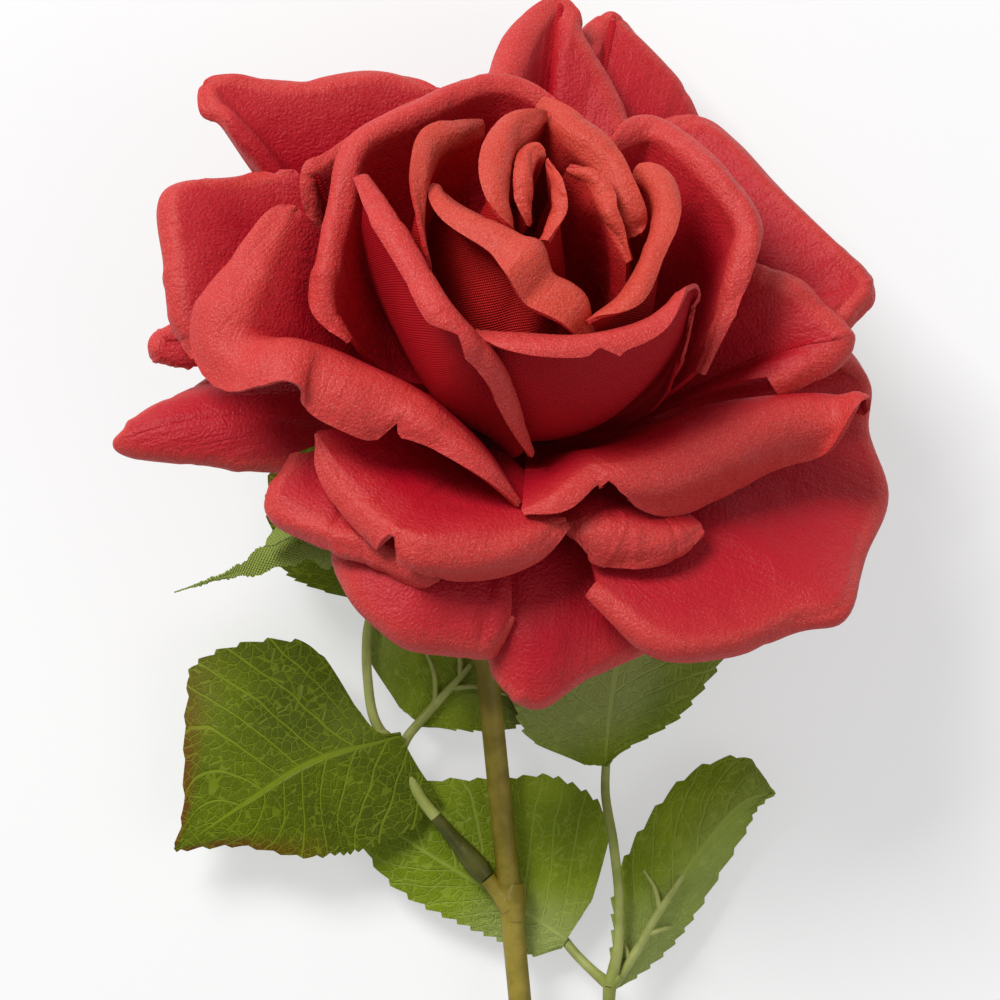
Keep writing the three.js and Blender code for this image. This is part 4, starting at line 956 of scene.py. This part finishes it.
def sepal_object():
    """The star as one ring of cloth: it lies on the receptacle's shoulder as far as the bend, and
    beyond it each blade narrows to its tip."""
    columns = COLUMNS_PER_SEPAL * len(SEPALS)
    s, t = np.meshgrid(np.arange(columns) / columns, np.linspace(0, 1, SEPAL_ROWS))
    slope = np.array([SHOULDER[0] - NECK[0], SHOULDER[1] - NECK[1]])
    slope = slope / np.linalg.norm(slope)
    outside = np.array([slope[1], -slope[0]]) * (CLEARANCE + SEPAL_THICKNESS / 2)
    hole = np.array(NECK) + outside + slope
    shoulder = np.array(SHOULDER) + outside
    place = s * len(SEPALS)
    index = np.floor(place + 0.5).astype(int) % len(SEPALS)
    turn = np.abs((place + 0.5) % 1 - 0.5) * SEPAL_SPREAD
    halfway = np.array([sepal["halfway"] for sepal in SEPALS], float)[index]
    tip = np.array([sepal["tip"] for sepal in SEPALS], float)[index]
    half = SEPAL_SPREAD / 2
    outer = 0.5 - 0.5 * np.sqrt(np.clip((turn - SEPAL_WAIST) / (half - SEPAL_WAIST), 0, 1))
    reach = np.where(turn < SEPAL_WAIST, 1 - 0.5 * turn / SEPAL_WAIST, outer)
    reach = reach * (1 + FRAY * rng.uniform(-1, 1, columns))
    leaf = np.clip((t - SEPAL_BEND) / (1 - SEPAL_BEND), 0, 1)
    share = (leaf * reach)[..., None]
    blade = (1 - share) ** 2 * shoulder + 2 * share * (1 - share) * halfway + share**2 * tip
    web = shoulder + (np.array([SEPAL_WEB, SHOULDER[1] + SEPAL_WEB_RISE]) - shoulder) * leaf[..., None]
    narrow = ((turn / half) ** 6)[..., None]
    outer_part = blade * (1 - narrow) + web * narrow
    inner_part = hole + (shoulder - hole) * np.clip(t / SEPAL_BEND, 0, 1)[..., None]
    flat = np.where((t <= SEPAL_BEND)[..., None], inner_part, outer_part)
    azimuth = SEPAL_FIRST + s * 360
    ruffle = RUFFLE * np.sin(share[..., 0] * 9 + index) * share[..., 0] * (turn / half)
    grid = polar(azimuth, flat[..., 0], flat[..., 1] + ruffle)
    obj = sheet_object("sepals_fine", from_head(grid), SEPAL_THICKNESS, grid[..., :2], SEPAL_FACES, ring=True)
    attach(obj, "root")
    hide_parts("sepals")


sepal_object()


def sepal_in_view():
    """The long end of the first sepal, torn along its edges, that shows beside the flower."""
    middle = np.array([
        [-21, -4, 0.5], [-27, -6, 1.5], [-33.8, -7.6, 3], [-42.3, -11.5, 5], [-48.7, -13.5, 6],
        [-55, -15.6, 6.6],
    ])
    upper = [6.5, 6.5, 5.6, 3.0, 2.6, 0.9, 0.5, 0.15]
    lower = [6.5, 6.8, 5.6, 3.4, 2.2, 0.8, 0.5, 0.15]
    rows, left, right, length = 181, 20, 21, 38
    s, t = np.meshgrid(np.linspace(-1, 1, left + right), np.linspace(0, 1, rows))
    centre = spline(middle, t)
    side = unit(np.cross([0.0, 0.0, 1.0], way_along(middle, t)))
    half = np.where(s < 0, along(upper, t), along(lower, t))
    torn = np.repeat(rng.uniform(0, 1, (rows, 2)), [left, right], axis=1)
    tatters = 0.5 + 0.5 * np.sin(2 * math.pi * (7.5 * t + 0.35 * np.sign(s)))
    half = half * (1 - 0.3 * tatters * smooth(t, 0.15, 0.4)) - 0.5 * torn * smooth(t, 0.05, 0.2)
    reach = s * np.maximum(half, 0.12)
    fold = 1.1 * np.abs(s) * np.cos(2 * math.pi * (1.3 * t)) * smooth(t, 0, 0.2) * (1 - t)
    sag = 0.06 * reach**2
    grid = centre + side * reach[..., None]
    grid[..., 2] += fold - sag
    uvs = np.stack([reach, t * length], -1)
    obj = sheet_object("sepal_in_view", grid, TORN_THICKNESS, uvs, SEPAL_FACES)
    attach(obj, "root")


sepal_in_view()

for node, material in (("receptacle", RECEPTACLE_SKIN), ("bud_core", PLUG)):
    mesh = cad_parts[node].data
    mesh.materials.clear()
    mesh.materials.append(material)

# Stage


def pale_floor(size=2.5):
    """A wide paper floor, half of whose brightness is its own to the camera."""
    mesh = bpy.data.meshes.new("floor")
    corners = [(-size, -size, 0), (size, -size, 0), (size, size, 0), (-size, size, 0)]
    mesh.from_pydata(corners, [], [(0, 1, 2, 3)])
    floor = bpy.data.objects.new("floor", mesh)
    bpy.context.scene.collection.objects.link(floor)
    shader = Shader("pale paper", roughness=0.9, specular=0.05)
    paper = shader.mix(shader.noise(scale=3, detail=2), (0.90, 0.90, 0.90, 1), (0.92, 0.92, 0.92, 1))
    seen = shader.node("LightPath", {}, "Is Camera Ray")
    shader.colour(shader.mix(seen, paper, (0.5, 0.5, 0.5, 1)))
    shader.put(shader.surface.inputs["Emission Color"], (1, 1, 1, 1))
    shader.put(shader.surface.inputs["Emission Strength"], shader.math("MULTIPLY", seen, 0.5))
    mesh.materials.append(shader.material)


def soft_box(name, place, size, power, target=(0, 0.03, 0.03)):
    """A square soft light at a place, turned to the flower."""
    data = bpy.data.lights.new(name, "AREA")
    data.shape = "SQUARE"
    data.size = size
    data.energy = power
    light = bpy.data.objects.new(name, data)
    light.location = place
    light.rotation_euler = (Vector(target) - Vector(place)).to_track_quat("-Z", "Y").to_euler()
    bpy.context.scene.collection.objects.link(light)


pale_floor()
soft_box("key", place=(-0.62, 0.95, 1.15), size=0.6, power=20)
soft_box("fill", place=(0.95, -0.3, 1.2), size=1.0, power=3)

world = bpy.data.worlds.new("studio")
bpy.context.scene.world = world
world.use_nodes = True
world.node_tree.nodes["Background"].inputs["Color"].default_value = (1, 1, 1, 1)
world.node_tree.nodes["Background"].inputs["Strength"].default_value = 0.3

camera_data = bpy.data.cameras.new("camera")
camera_data.sensor_width = 36
camera_data.lens = CAMERA_LENS
camera = bpy.data.objects.new("camera", camera_data)
camera.location = to_part([0, 0, CAMERA_HEIGHT])
bpy.context.scene.collection.objects.link(camera)
bpy.context.scene.camera = camera
bpy.context.scene.view_settings.view_transform = "Standard"
